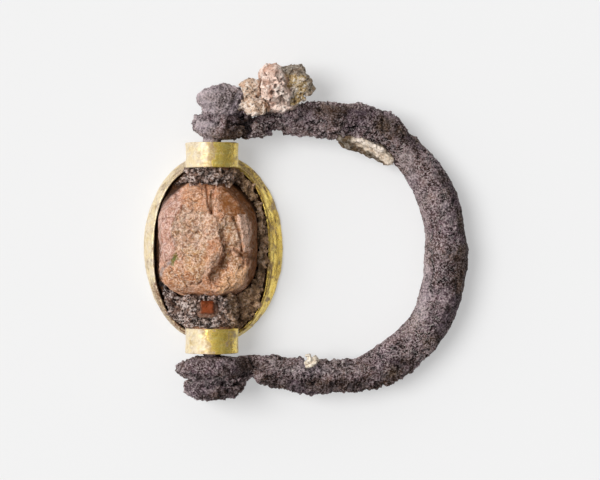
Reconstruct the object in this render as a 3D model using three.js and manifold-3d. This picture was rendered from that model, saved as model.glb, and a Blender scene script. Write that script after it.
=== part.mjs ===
// A swivelling scarab finger ring of corroded silver, sheet gold and carved stone, in millimetres.
// It lies on its seal face. The origin is that face's centre, X runs from the scarab to the back
// of the hoop, Y runs along the pivot wire, and Z is up, out of the beetle's back.
import * as THREE from "three";
import { mergeVertices } from "three/addons/utils/BufferGeometryUtils.js";
import Module from "manifold-3d";

const wasm = await Module();
wasm.setup();

// Fits that the pieces share
const runningClearance = 0.08; // round the wire, in every hole it passes
const seatGap = 0.12; // between pieces that are seated on each other
const endPlay = 0.14; // between a collar's end and the hoop's eye
const cutOverrun = 2; // how far a cutting tool runs past what it cuts

// Pivot wire
const pivotHeight = 3.3; // from the seal face to the swivel axis
const wireRadius = 0.88;

// Gold rim, a strip bent to an oval, with a turned-in foot and a wall that leans in to its lip
const rimHalfWidth = 6.65;
const rimHalfLength = 9.12;
const rimHeight = 1.9;
const rimEdgeHeight = 0.3;
const rimLean = 1.1; // how far the lip stands in from the foot at the sides
const rimEndLean = 0.62; // and at the ends
const lipShift = 0.25; // how far the lip is set towards the lower collar
const rimWall = 0.24;
const rimWaistHeight = 0.72;
const rimFootWidth = 1.45;

// Gold collars, one at each end of the bore, each a tube with a disc let into its outer end
const collarRadius = 2.47;
const collarLength = 2.38;
const collarOverhang = 0.86; // how far it stands out past the rim's end
const collarWall = 0.3;
const collarEdgeRound = 0.1;
const discThickness = 0.35;

// Scarab stone
const plinthHeight = 1.6;
const plinthClearance = 0.22;
const bossClearance = 0.27;
const backSideMargin = 0.53; // from the back's side to the rim's lip
const backEndMargin = 2.66; // and from its ends
const backTop = 6.9;
const backLeft = 0.42; // how far the back stands off the mount's middle
const backBehind = 0.86; // how far it stands towards the upper collar
const headHalfWidth = 1.15;
const headHalfLength = 0.98;
const headTop = 5.95;
const headLeft = 0.36;
const headEndMargin = 2.61; // from the head's middle to the rim's lip
const sutureLength = 2.5;
const sutureWidth = 0.34;
const sutureSpacing = 0.66;
const sutureDepth = 0.38;

// Crust that fills the mount round the stone
const fillTop = 2.75;
const fillCrustDepth = 0.2; // how far its crust rises and sinks
const saddleThickness = 0.25;
const saddleReach = 1.6; // how far the crust on the bosses runs in under the back

// Silver hoop, a bar that tapers to an eye at each end
const hoopReach = 22.3; // from the swivel axis to the middle of the bar at its back
const armStand = 2.12; // from a collar's face to the middle of an arm
const barRadius = 2.05;
const crustDepth = 0.1;
const crustWave = 1.9;
const upperEye = { halfWidth: 2.75, halfThickness: 1.3, halfDepth: 2.6, offCentre: 0.75 };
const lowerEye = { halfWidth: 3.2, halfThickness: 1.12, halfDepth: 3.05, offCentre: 0.3 };

// Heads of the pivot wire, wound or beaten out beyond the eyes
const upperHead = { halfWidth: 2.5, halfThickness: 1.38, halfDepth: 2.3, offCentre: 0.95 };
const lowerHead = { halfWidth: 3, halfThickness: 1, halfDepth: 2.8, offCentre: 0.25 };

// Burial soil and scale stuck to the silver
const cragHalf = [1.95, 2.2, 2.1];
const slabHalf = [1.1, 1.7, 1];
const clusterRadius = 1.2;
const spurHalf = [1.35, 1.1, 1.2];
const scaleHalf = [2.9, 0.85, 0.65];
const crumbRadius = 0.7;
const soilDepth = 0.26; // how rough the soil is

// How finely round shapes are divided
const ovalSteps = 48;
const roundSteps = 36;
const barSteps = 56;
const barSides = 14;
const pebbleSteps = [16, 10];

// Outline squareness: 2 is an oval, and more is squarer
const ovalSquareness = 2;
const lipSquareness = 2.4;
const backSquareness = 3.3;
const headSquareness = 3.4;
const pebbleSquareness = 2.5;
const cragSquareness = 3.2;
const slabSquareness = 4.5;

// Stations down the hoop from the upper eye to the lower one: across, along and half thickness,
// as shares of the reach, the half span and the bar's radius.
const hoopStationShares = [
  [0.072, 0.959, 0.44],
  [0.161, 0.959, 0.41],
  [0.22, 0.971, 0.32],
  [0.251, 0.992, 0.38],
  [0.305, 1.008, 0.556],
  [0.359, 1.004, 0.75],
  [0.432, 1.017, 0.8],
  [0.534, 1.004, 0.834],
  [0.646, 0.983, 0.85],
  [0.753, 0.901, 0.78],
  [0.834, 0.752, 0.79],
  [0.908, 0.587, 0.89],
  [0.964, 0.397, 0.96],
  [0.989, 0.19, 0.93],
  [1, -0.025, 1.02],
  [0.991, -0.24, 0.995],
  [0.964, -0.446, 0.995],
  [0.91, -0.645, 0.95],
  [0.83, -0.798, 0.95],
  [0.74, -0.917, 0.975],
  [0.637, -0.996, 0.79],
  [0.527, -1.012, 0.78],
  [0.426, -1.008, 0.83],
  [0.359, -1.004, 0.78],
  [0.287, -0.983, 0.73],
  [0.22, -0.95, 0.67],
  [0.184, -0.926, 0.54],
  [0.112, -0.934, 0.49],
];

// Waves of the crust: how fast each runs along X, Y and Z, and where it starts.
const crustWaveShares = [
  [2.1, 1.3, 0.4, 0],
  [-0.7, 2.4, -1.9, 1],
  [1.7, -0.5, 2.6, 2],
  [3.3, 2.9, 1.1, 4],
];

// The beetle's back from its foot to its crown: height and outline, as shares of the full ones.
const backProfileShares = [
  [0, 1],
  [0.3, 0.99],
  [0.52, 0.955],
  [0.7, 0.9],
  [0.83, 0.82],
  [0.915, 0.7],
  [0.945, 0.62],
  [0.965, 0.54],
  [0.98, 0.45],
  [0.99, 0.36],
  [0.996, 0.27],
  [1, 0.18],
];

// The head's outline at its foot, shoulder and flat top, as shares of its height and outline.
const headProfileShares = [
  [0, 1],
  [0.86, 0.96],
  [1, 0.78],
];

// Broken and worn places on the back: across, along, reach and depth, as shares of its half width,
// half length, half width and height. A negative depth is a lump.
const backWearShares = [
  [0.47, 0.11, 0.2, 0.14],
  [0.4, -0.26, 0.13, 0.11],
  [0.32, -0.44, 0.13, 0.11],
  [0.15, -0.64, 0.13, 0.08],
  [0.1, -0.36, 0.12, -0.08],
  [-0.25, 0.2, 0.4, 0.06],
  [0.57, -0.72, 0.2, -0.04],
  [0.92, 0.2, 0.17, 0.18],
  [0.92, -0.15, 0.17, 0.18],
  [0.92, -0.5, 0.17, 0.18],
];

// Crust in the mount from the rim's lip to its crown: inset and height, as shares of the back's
// half width and of the fill's rise above the lip.
const fillProfileShares = [
  [0, 0.2],
  [0.13, 0.75],
  [0.4, 1],
  [0.7, 1.1],
];

// Places of the soil and scale: across, along and up, as shares of the hoop's reach, its half span
// and the pivot's height.
const cragPlaceShares = [0.286, 1.256, 1.3];
const slabPlaceShares = [0.362, 1.287, 1.02];
const clusterPlaceShares = [
  [0.163, 1.24, 1.2, 0.86],
  [0.192, 1.075, 1.32, 1.0],
  [0.13, 1.14, 1.25, 0.74],
];
const spurPlaceShares = [0.182, 0.918, 1];
const scalePlaceShares = [0.664, 0.765, 0.72];
const crumbPlaceShares = [0.4215, -0.885, 1.25];

// Turns a geometry into a solid that can be joined and cut.
function solidOf(geometry) {
  const bare = geometry.index ? geometry.toNonIndexed() : geometry.clone();
  bare.deleteAttribute("normal");
  bare.deleteAttribute("uv");
  const merged = mergeVertices(bare);
  const vertProperties = merged.attributes.position.array;
  const triVerts = new Uint32Array(merged.index.array);
  return new wasm.Manifold(new wasm.Mesh({ numProp: 3, vertProperties, triVerts }));
}

// Turns a solid back into a geometry.
function geometryOf(solid) {
  const { vertProperties, triVerts } = solid.getMesh();
  const geometry = new THREE.BufferGeometry();
  geometry.setAttribute("position", new THREE.BufferAttribute(new Float32Array(vertProperties), 3));
  geometry.setIndex(new THREE.BufferAttribute(new Uint32Array(triVerts), 1));
  return geometry;
}

// Skins equal rings of points. Two ends are closed by fans, or the last ring is joined to the first.
function loft(rings, looped = false) {
  const count = rings[0].length;
  const points = rings.flat();
  const faces = [];
  const bands = looped ? rings.length : rings.length - 1;
  for (let i = 0; i < bands; i += 1) {
    const next = (i + 1) % rings.length;
    for (let j = 0; j < count; j += 1) {
      const beside = (j + 1) % count;
      const [a, b] = [i * count + j, i * count + beside];
      const [c, d] = [next * count + j, next * count + beside];
      faces.push(a, b, d, a, d, c);
    }
  }
  for (const end of looped ? [] : [0, rings.length - 1]) {
    const middle = points.length;
    const sum = rings[end].reduce((total, point) => total.add(point), new THREE.Vector3());
    points.push(sum.divideScalar(count));
    for (let j = 0; j < count; j += 1) {
      const [a, b] = [end * count + j, end * count + ((j + 1) % count)];
      faces.push(middle, ...(end === 0 ? [b, a] : [a, b]));
    }
  }
  const geometry = new THREE.BufferGeometry().setFromPoints(points);
  geometry.setIndex(faces);
  return geometry;
}

// A power that keeps the sign of the value it is given.
function signedPower(value, power) {
  return Math.sign(value) * Math.abs(value) ** power;
}

// A level ring of points round an oval or a rounded rectangle.
function ovalRing({ halfWidth, halfLength, height, across = 0, along = 0, squareness = ovalSquareness }) {
  return Array.from({ length: ovalSteps }, (_, i) => {
    const turn = (2 * Math.PI * i) / ovalSteps;
    return new THREE.Vector3(
      across + halfWidth * signedPower(Math.cos(turn), 2 / squareness),
      along + halfLength * signedPower(Math.sin(turn), 2 / squareness),
      height,
    );
  });
}

// How far corrosion lifts the surface at a point, from -1 to 1.
function crustLift(point) {
  const lifts = crustWaveShares.map(([x, y, z, start]) =>
    Math.sin((x * point.x + y * point.y + z * point.z) / crustWave + start),
  );
  return lifts.reduce((sum, lift) => sum + lift) / lifts.length;
}

// A rounded lump with a rough skin. Growing it by a gap gives the tool that clears its neighbour.
function pebble({
  half,
  at,
  turn = [0, 0, 0],
  squareness = pebbleSquareness,
  rough = crustDepth,
  grow = 0,
}) {
  const geometry = new THREE.SphereGeometry(1, ...pebbleSteps);
  const position = geometry.attributes.position;
  const angles = new THREE.Euler(...turn);
  const point = new THREE.Vector3();
  for (let i = 0; i < position.count; i += 1) {
    point.fromBufferAttribute(position, i);
    const spread = point.toArray().reduce((sum, x) => sum + Math.abs(x) ** squareness, 0);
    point.divideScalar(spread ** (1 / squareness));
    const outward = point.clone().applyEuler(angles).normalize();
    point.multiply(new THREE.Vector3(...half)).applyEuler(angles).add(new THREE.Vector3(...at));
    point.addScaledVector(outward, rough * crustLift(point) + grow);
    position.setXYZ(i, ...point.toArray());
  }
  return solidOf(geometry);
}

// A rod along the pivot axis between two places on it.
function pivotRod(radius, from, to) {
  const rod = new THREE.CylinderGeometry(radius, radius, to - from, roundSteps);
  return solidOf(rod.translate(0, (from + to) / 2, pivotHeight));
}

// A turned shape about the Y axis, from an outline of radii and places that closes on itself.
function turned(outline) {
  const points = [...outline, outline[0]].map(([radius, along]) => new THREE.Vector2(radius, along));
  return new THREE.LatheGeometry(points, roundSteps);
}

// Sizes that follow from the named ones
const boreRadius = wireRadius + runningClearance;
const lipHalfWidth = rimHalfWidth - rimLean - rimWall;
const lipHalfLength = rimHalfLength - rimEndLean - rimWall;
const backHalfWidth = lipHalfWidth - backSideMargin;
const backHalfLength = lipHalfLength - backEndMargin;
const headAhead = lipHalfLength - headEndMargin;
const collarFace = rimHalfLength + collarOverhang;
const collarInner = collarFace - collarLength;
const bossRadius = collarRadius - collarWall - bossClearance;
const bossEnd = collarFace - discThickness - seatGap;
const hoopHalfSpan = collarFace + armStand;
const waistShare = (rimWaistHeight - rimEdgeHeight) / (rimHeight - rimEdgeHeight);
const plinthShare = (plinthHeight - rimEdgeHeight) / (rimHeight - rimEdgeHeight);

// A place given as shares of the hoop's reach, its half span and the pivot's height.
function hoopPlace([across, along, up]) {
  return [across * hoopReach, along * hoopHalfSpan, up * pivotHeight];
}

// A ring round the rim's wall: how far up its lean it is, as a share, and how far in from the outside.
function rimRing(leanShare, inset, height) {
  return ovalRing({
    halfWidth: rimHalfWidth - leanShare * rimLean - inset,
    halfLength: rimHalfLength - leanShare * rimEndLean - inset,
    height,
    along: -leanShare * lipShift,
    squareness: THREE.MathUtils.lerp(ovalSquareness, lipSquareness, leanShare),
  });
}

// What the rim's wall fills up to its lip, grown by a gap and run on outwards.
function rimRoom() {
  const inset = rimWall + seatGap;
  const top = rimHeight + seatGap;
  const outer = [0, top].map((height) => rimRing(0, -cutOverrun, height));
  const inner = [top, 0].map((height) => rimRing(1, inset, height));
  return solidOf(loft([...outer, ...inner], true));
}

// What the two collars fill, grown by a gap.
function collarRoom(gap) {
  const upper = pivotRod(collarRadius + gap, collarInner - gap, collarFace + cutOverrun);
  const lower = pivotRod(collarRadius + gap, -collarFace - cutOverrun, -collarInner + gap);
  return upper.add(lower);
}

// The gold strip round the plinth, notched where the collars pass through its ends.
function goldRim() {
  const strip = loft(
    [
      rimRing(0, 0, 0),
      rimRing(0, 0, rimEdgeHeight),
      rimRing(1, 0, rimHeight),
      rimRing(1, rimWall, rimHeight),
      rimRing(waistShare, rimWall, rimWaistHeight),
      rimRing(0, rimFootWidth, 0),
    ],
    true,
  );
  return solidOf(strip).subtract(collarRoom(seatGap));
}

// How far wear has lowered the back at a place on it.
function backWear(across, along) {
  return backWearShares.reduce((sum, [x, y, reach, depth]) => {
    const away = Math.hypot(
      (across - x * backHalfWidth) / (reach * backHalfWidth),
      (along - y * backHalfLength) / (reach * backHalfWidth),
    );
    return sum + depth * (backTop - plinthHeight) * Math.exp(-(away ** 2));
  }, 0);
}

// The beetle's domed back, grown by a gap to clear the crust round it.
function beetleBack(grow = 0) {
  const foot = plinthHeight - seatGap;
  const rings = backProfileShares.map(([heightShare, outlineShare]) => {
    const ring = ovalRing({
      halfWidth: backHalfWidth * outlineShare + grow,
      halfLength: backHalfLength * outlineShare + grow,
      height: foot + (backTop - foot) * heightShare + grow,
      across: -backLeft,
      along: backBehind,
      squareness: THREE.MathUtils.lerp(ovalSquareness, backSquareness, outlineShare),
    });
    const worn = (1 - outlineShare) / (1 - backProfileShares.at(-1)[1]);
    ring.forEach((point) => {
      point.z -= Math.sqrt(worn) * backWear(point.x + backLeft, point.y - backBehind);
    });
    return ring;
  });
  return solidOf(loft(rings));
}

// The beetle's head, standing out of the crust, grown by a gap to clear it.
function beetleHead(grow = 0) {
  const rings = headProfileShares.map(([heightShare, outlineShare]) =>
    ovalRing({
      halfWidth: headHalfWidth * outlineShare + grow,
      halfLength: headHalfLength * outlineShare + grow,
      height: plinthHeight - seatGap + (headTop + seatGap - plinthHeight + grow) * heightShare,
      across: -headLeft,
      along: -headAhead,
      squareness: headSquareness,
    }),
  );
  return solidOf(loft(rings));
}

// The two cuts beside the seam between the wing cases, each a wedge that runs out forwards.
function sutureCuts() {
  const wedge = new THREE.Shape([
    new THREE.Vector2(-sutureWidth / 2, cutOverrun),
    new THREE.Vector2(0, -sutureLength),
    new THREE.Vector2(sutureWidth / 2, cutOverrun),
  ]);
  const cuts = [-1, 1].map((side) => {
    const cut = new THREE.ExtrudeGeometry(wedge, { depth: backTop, bevelEnabled: false });
    return solidOf(cut.translate((side * sutureSpacing) / 2, backBehind + backHalfLength, plinthHeight));
  });
  return cuts[0].add(cuts[1]).subtract(beetleBack(-sutureDepth));
}

// The scarab: its plinth inside the rim, its back and head, and a boss round the bore at each end.
function scarabStone() {
  const plinth = loft([
    rimRing(0, rimFootWidth + plinthClearance, 0),
    rimRing(waistShare, rimWall + plinthClearance, rimWaistHeight),
    rimRing(plinthShare, rimWall + plinthClearance, plinthHeight),
  ]);
  const back = beetleBack().subtract(sutureCuts()).subtract(rimRoom());
  const carved = solidOf(plinth).add(back).add(beetleHead()).subtract(collarRoom(seatGap));
  const bosses = pivotRod(bossRadius, -bossEnd, bossEnd);
  const bore = pivotRod(boreRadius, -bossEnd - cutOverrun, bossEnd + cutOverrun);
  return carved.add(bosses).subtract(bore);
}

// The crust between the stone and the gold: a low mound, and a saddle over each end of the bore.
function settingFill() {
  const floor = plinthHeight + seatGap;
  const mound = fillProfileShares.map(([insetShare, riseShare]) => {
    const inset = rimWall + seatGap + insetShare * backHalfWidth;
    return rimRing(1, inset, rimHeight + riseShare * (fillTop - rimHeight));
  });
  mound.slice(1).flat().forEach((point) => {
    point.z += fillCrustDepth * crustLift(point);
  });
  const base = rimRing(1, rimWall + seatGap, floor);
  const saddleRadius = bossRadius + seatGap + saddleThickness;
  const saddleEnd = collarInner - seatGap;
  const saddles = [
    pivotRod(saddleRadius, backBehind + backHalfLength - saddleReach, saddleEnd),
    pivotRod(saddleRadius, -saddleEnd, backBehind - backHalfLength + saddleReach),
  ];
  const over = [floor, backTop].map((height) => rimRing(1, rimWall + seatGap, height));
  return solidOf(loft([base, ...mound]))
    .add(saddles[0].add(saddles[1]).intersect(solidOf(loft(over))))
    .subtract(beetleBack(seatGap))
    .subtract(beetleHead(seatGap))
    .subtract(pivotRod(bossRadius + seatGap, -bossEnd, bossEnd))
    .subtract(collarRoom(seatGap));
}

// A gold collar's tube, from its outer end inwards.
function collarTube() {
  const inner = collarRadius - collarWall;
  return turned([
    [inner, 0],
    [collarRadius - collarEdgeRound, 0],
    [collarRadius, collarEdgeRound],
    [collarRadius, collarLength - collarEdgeRound],
    [collarRadius - collarEdgeRound, collarLength],
    [inner, collarLength],
  ]);
}

// The pierced disc let into a collar's outer end.
function collarDisc() {
  const edge = collarRadius - collarWall - seatGap;
  return turned([
    [boreRadius, 0],
    [edge, 0],
    [edge, discThickness],
    [boreRadius, discThickness],
  ]);
}

// The hoop's bar. Its middle line sinks from the pivot's height until its back rests level with the
// seal face.
function hoopBar(grow = 0) {
  const thickest = Math.max(...hoopStationShares.map(([, , thickness]) => thickness));
  const restHeight = barRadius * thickest + crustDepth;
  const places = hoopStationShares.map(([across, along]) => {
    const sunk = THREE.MathUtils.smoothstep(across, 0, 1);
    const height = THREE.MathUtils.lerp(pivotHeight, restHeight, sunk);
    return new THREE.Vector3(across * hoopReach, along * hoopHalfSpan, height);
  });
  const radii = hoopStationShares.map(([, , thickness]) => new THREE.Vector3(thickness * barRadius, 0, 0));
  const middle = new THREE.CatmullRomCurve3(places, false, "catmullrom");
  const radius = new THREE.CatmullRomCurve3(radii, false, "catmullrom");
  const rings = Array.from({ length: barSteps + 1 }, (_, i) => {
    const t = i / barSteps;
    const tangent = middle.getTangent(t);
    const up = new THREE.Vector3(0, 0, 1).addScaledVector(tangent, -tangent.z).normalize();
    const side = new THREE.Vector3().crossVectors(up, tangent);
    return Array.from({ length: barSides }, (__, j) => {
      const turn = (2 * Math.PI * j) / barSides;
      const outward = side.clone().multiplyScalar(Math.cos(turn)).addScaledVector(up, Math.sin(turn));
      const point = middle.getPoint(t).addScaledVector(outward, radius.getPoint(t).x);
      return point.addScaledVector(outward, crustDepth * crustLift(point) + grow);
    });
  });
  return solidOf(loft(rings));
}

// A lump threaded on the pivot wire: one of the hoop's eyes, or one of the wire's heads.
function threaded(sizes, along, grow = 0) {
  const half = [sizes.halfWidth, sizes.halfThickness, sizes.halfDepth];
  return pebble({ half, at: [sizes.offCentre, along, pivotHeight], grow });
}

// Places along the pivot axis of the eyes and of the heads beyond them
const upperEyeAlong = collarFace + endPlay + crustDepth + upperEye.halfThickness;
const lowerEyeAlong = -(collarFace + endPlay + crustDepth + lowerEye.halfThickness);
const upperHeadAlong = upperEyeAlong + upperEye.halfThickness + upperHead.halfThickness;
const lowerHeadAlong = lowerEyeAlong - lowerEye.halfThickness - lowerHead.halfThickness;

// Both eyes, grown by a gap to clear what lies against them.
function hoopEyes(grow = 0) {
  return threaded(upperEye, upperEyeAlong, grow).add(threaded(lowerEye, lowerEyeAlong, grow));
}

// The spur of corroded silver beside the upper eye.
function hoopSpur(grow = 0) {
  return pebble({ half: spurHalf, at: hoopPlace(spurPlaceShares), rough: soilDepth, grow });
}

// The silver hoop, or the tool that clears its neighbours, which has no bore.
function silverHoop(grow = 0) {
  const collarEnd = collarFace + endPlay;
  const forged = hoopBar(grow).add(hoopEyes(grow)).add(hoopSpur(grow));
  const cleared = forged.subtract(pivotRod(collarRadius + endPlay, -collarEnd, collarEnd));
  if (grow > 0) return cleared;
  return cleared.subtract(pivotRod(boreRadius, lowerHeadAlong, upperHeadAlong));
}

// Both heads of the wire, grown by a gap to clear the soil on them.
function wireHeads(grow = 0) {
  return threaded(upperHead, upperHeadAlong, grow).add(threaded(lowerHead, lowerHeadAlong, grow));
}

// The pivot wire through both eyes, both collars and the stone, held by its heads.
function pivotWire() {
  const wire = pivotRod(wireRadius, lowerHeadAlong, upperHeadAlong);
  return wireHeads().subtract(silverHoop(seatGap)).add(wire);
}

// The clump of small soil lumps between the upper head and the crag.
function soilLumps(grow = 0) {
  const lumps = clusterPlaceShares.map(([across, along, up, size]) => {
    const half = [clusterRadius * size, clusterRadius * size, clusterRadius * size];
    return pebble({ half, at: hoopPlace([across, along, up]), rough: soilDepth, grow });
  });
  return lumps.reduce((sum, lump) => sum.add(lump));
}

// The large broken lump of soil.
function soilCragLump(grow = 0) {
  return pebble({
    half: cragHalf,
    at: hoopPlace(cragPlaceShares),
    turn: [0.3, 0.4, 0.35],
    squareness: cragSquareness,
    rough: soilDepth,
    grow,
  });
}

// The silver that soil and scale must clear.
const silverRoom = silverHoop(seatGap).add(wireHeads(seatGap));

const materials = {
  silver: new THREE.MeshStandardMaterial({ color: 0x6c5f60, roughness: 0.9, metalness: 0.1 }),
  gold: new THREE.MeshStandardMaterial({ color: 0xd9b65c, roughness: 0.35, metalness: 1 }),
  stone: new THREE.MeshStandardMaterial({ color: 0xa8775a, roughness: 0.75, metalness: 0 }),
  crust: new THREE.MeshStandardMaterial({ color: 0x5f524c, roughness: 0.95, metalness: 0 }),
  soil: new THREE.MeshStandardMaterial({ color: 0xb7a596, roughness: 0.95, metalness: 0 }),
  lime: new THREE.MeshStandardMaterial({ color: 0xe2cfae, roughness: 0.9, metalness: 0 }),
};

// A named mesh of one piece.
function piece(name, geometry, material) {
  const mesh = new THREE.Mesh(geometry, material);
  mesh.name = name;
  return mesh;
}

// A collar's tube and disc at one end of the bore: side is 1 at the upper end and -1 at the lower.
function collarAt(side, name) {
  const collar = new THREE.Group();
  collar.add(piece(name, collarTube(), materials.gold));
  collar.add(piece(`${name}_disc`, collarDisc(), materials.gold));
  collar.position.set(0, side * collarFace, pivotHeight);
  collar.rotation.x = side > 0 ? Math.PI : 0;
  return collar;
}

const bezel = new THREE.Group();
bezel.add(
  piece("scarab_stone", geometryOf(scarabStone()), materials.stone),
  piece("gold_rim", geometryOf(goldRim()), materials.gold),
  piece("setting_fill", geometryOf(settingFill()), materials.crust),
  collarAt(1, "upper_collar"),
  collarAt(-1, "lower_collar"),
);

const lumps = soilLumps();
const crag = soilCragLump().subtract(soilLumps(seatGap)).subtract(silverRoom);
const slab = pebble({
  half: slabHalf,
  at: hoopPlace(slabPlaceShares),
  turn: [0.2, -0.35, -0.42],
  squareness: slabSquareness,
})
  .subtract(soilCragLump(seatGap))
  .subtract(silverRoom);
const armScale = pebble({
  half: scaleHalf,
  at: hoopPlace(scalePlaceShares),
  turn: [0.2, 0.04, -0.4],
  rough: soilDepth,
});
const crumb = pebble({
  half: [crumbRadius, crumbRadius, crumbRadius],
  at: hoopPlace(crumbPlaceShares),
  rough: soilDepth,
});

const hoop = new THREE.Group();
hoop.add(
  piece("silver_hoop", geometryOf(silverHoop()), materials.silver),
  piece("pivot_wire", geometryOf(pivotWire()), materials.silver),
  piece("soil_cluster", geometryOf(lumps.subtract(silverRoom)), materials.soil),
  piece("soil_crag", geometryOf(crag), materials.soil),
  piece("soil_slab", geometryOf(slab), materials.soil),
  piece("arm_scale", geometryOf(armScale.subtract(silverRoom)), materials.soil),
  piece("lime_crumb", geometryOf(crumb.subtract(silverRoom)), materials.lime),
);

const ring = new THREE.Group();
ring.add(hoop, bezel);

export default ring;
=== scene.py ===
"""Dresses the swivelling scarab ring: crusted silver hoop, sheet gold mount, carved stone and soil.

Sizes in the tables and in the shaping code are in millimetres, and the finished pieces are in metres.
"""

import bmesh
import bpy
import numpy as np
from mathutils import Euler, Matrix, Vector, noise


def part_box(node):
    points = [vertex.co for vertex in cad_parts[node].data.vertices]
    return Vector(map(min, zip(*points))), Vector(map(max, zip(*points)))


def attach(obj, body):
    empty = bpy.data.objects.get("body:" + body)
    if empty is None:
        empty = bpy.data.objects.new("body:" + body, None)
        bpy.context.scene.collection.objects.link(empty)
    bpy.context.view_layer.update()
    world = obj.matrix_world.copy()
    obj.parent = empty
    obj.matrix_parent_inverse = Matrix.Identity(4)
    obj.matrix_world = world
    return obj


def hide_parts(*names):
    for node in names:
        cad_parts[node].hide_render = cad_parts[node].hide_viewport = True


bl_info = {
    "name": "Scarab ring",
    "version": (1, 0, 0),
    "blender": (4, 5, 0),
    "location": "View3D > Sidebar > Ring",
    "description": "Crusted silver hoop, sheet gold mount, carved stone and soil of a swivelling ring",
    "category": "Object",
}

MM = 0.001
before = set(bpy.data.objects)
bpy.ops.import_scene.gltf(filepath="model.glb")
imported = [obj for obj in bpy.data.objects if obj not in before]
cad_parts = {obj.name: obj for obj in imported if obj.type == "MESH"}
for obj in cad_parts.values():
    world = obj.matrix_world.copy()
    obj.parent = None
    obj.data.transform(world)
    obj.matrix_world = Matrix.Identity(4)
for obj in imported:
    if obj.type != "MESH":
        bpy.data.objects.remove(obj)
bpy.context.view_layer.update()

# Where the turned pieces stand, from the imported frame, in millimetres
COLLAR_LOW, COLLAR_HIGH = (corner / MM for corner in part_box("upper_collar"))
DISC_LOW, DISC_HIGH = (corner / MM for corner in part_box("upper_collar_disc"))
RIM_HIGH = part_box("gold_rim")[1] / MM
PIVOT_HEIGHT = (COLLAR_LOW.z + COLLAR_HIGH.z) / 2
COLLAR_RADIUS = COLLAR_HIGH.x
COLLAR_FACE = COLLAR_HIGH.y

# Points of a CAD copy and of a spun section that lie nearer than this are merged
MERGED_CAD = 0.001
MERGED_SPIN = 0.0001

# Shape of the gold rim, as in the part's source
RIM_EDGE = 0.3
RIM_LEAN = 1.1
RIM_END_LEAN = 0.62
LIP_SHIFT = 0.25
LIP_SQUARENESS = 2.4

# How far the lip gapes on the left, and the heights between which the lip's wear begins and ends
LIP_OPENING = 0.3
LIP_FROM = (1.72, 1.92)
LIP_TO = 2.2
LIP_FADE = 0.1

# How finely the rim and the collars are spun
RIM_STEPS = 120
COLLAR_STEPS = 72

# The collars' bevels, the depth of their dents beside the rim's, and their discs' bore and lap
COLLAR_BEVEL = 0.07
COLLAR_DENTS = 0.7
DISC_BORE = 0.98
DISC_LAP = 0.1

# The angle in radians over which an edge of a collar is bevelled
SHARP_ANGLE = 0.6

# How far the crust swells over the hoop and over the wire
HOOP_SWELL = 0.08
WIRE_SWELL = -0.04

# Size of the faces of the wire's skin beside the hoop's
WIRE_FINENESS = 0.9

# Where the eyes' crust is held down: beside the collars, by how much, and round the bore up to its end
EYE_MARGIN = 0.45
EYE_HELD = 0.35
EYE_BORE = (1.1, 1.5)
EYE_END = 14.2

# Distances from the ring's middle between which the wire's crust begins
WIRE_CRUST = (10.0, 10.6)

# Heights between which the stone's parts begin, and between which its flank's painted shade begins and ends
STONE_FOOT = (0.0, 0.4)
FLANK_FROM = (0.6, 1.0)
STONE_SHOWN = (2.0, 2.8)
STONE_WORN = (2.9, 3.8)
FLANK_TO = (2.6, 3.4)

# The gap between the crust and the gold on the left, where the crust is sunk and painted near black as
# shadow: its depth, how far out it begins, and its ends
GAP_DEPTH = 0.6
GAP_SIDE = (4.4, 4.75)
GAP_HEAD = (-4.4, -3.4)
GAP_TAIL = (2.2, 3.4)

# The stage: the middle of the picture, the floor, and the ways to the sun and to the brighter sky
PICTURE_MIDDLE = (8.36, 0.76)
FLOOR_REACH = 2000
FLOOR_DROP = 0.02
FLOOR_GLOW = 0.43
SUN_WAY = (-0.6, 0.14, 0.96)
SUN_WIDTH = 35
SKY_WAY = (-0.7, 0.25, 0)

# Gains that bring noise to about -1 to 1 and ridges and grains to 0 to 1, and the spread of tilts
NOISE_GAIN = 1.6
RIDGE_GAIN = 1.9
GRAIN_GAIN = 2.2
TILT_SPREAD = 7.3

# Layers of noise and of broken faces: how high each one is, how wide, and where its noise starts
SILVER_SHADES = ((0.45, 3.1, 14), (0.3, 1.1, 18))
SILVER_WAVES = ((0.1, 1.7, 61), (0.13, 0.8, 77), (0.06, 0.4, 79))
SILVER_BREAKS = ((0.3, 1.3, 3), (0.35, 0.6, 11))
SHEET_DENTS = ((0.6, 1.7, 3), (0.3, 0.7, 8), (0.12, 0.3, 17))
SHEET_FILM = ((0.3, 1.1, 40), (0.2, 0.3, 44))
STONE_WAVES = ((0.06, 1.4, 12), (0.04, 0.5, 15))
STONE_BREAKS = ((0.65, 0.8, 6), (0.35, 0.42, 9))
SOIL_WAVES = ((0.05, 0.55, 2), (0.04, 0.27, 4))

# Flecks in the stone's broken places: their pigment, how wide they are and where their noise starts
STONE_FLECKS = (
    ("amber", 0.45, 61),
    ("pearl", 0.5, 64),
    ("russet", 0.4, 67),
    ("olive", 0.7, 69),
    ("ochre", 0.6, 73),
    ("amber", 0.8, 75),
    ("ochre", 0.35, 79),
)
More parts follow.
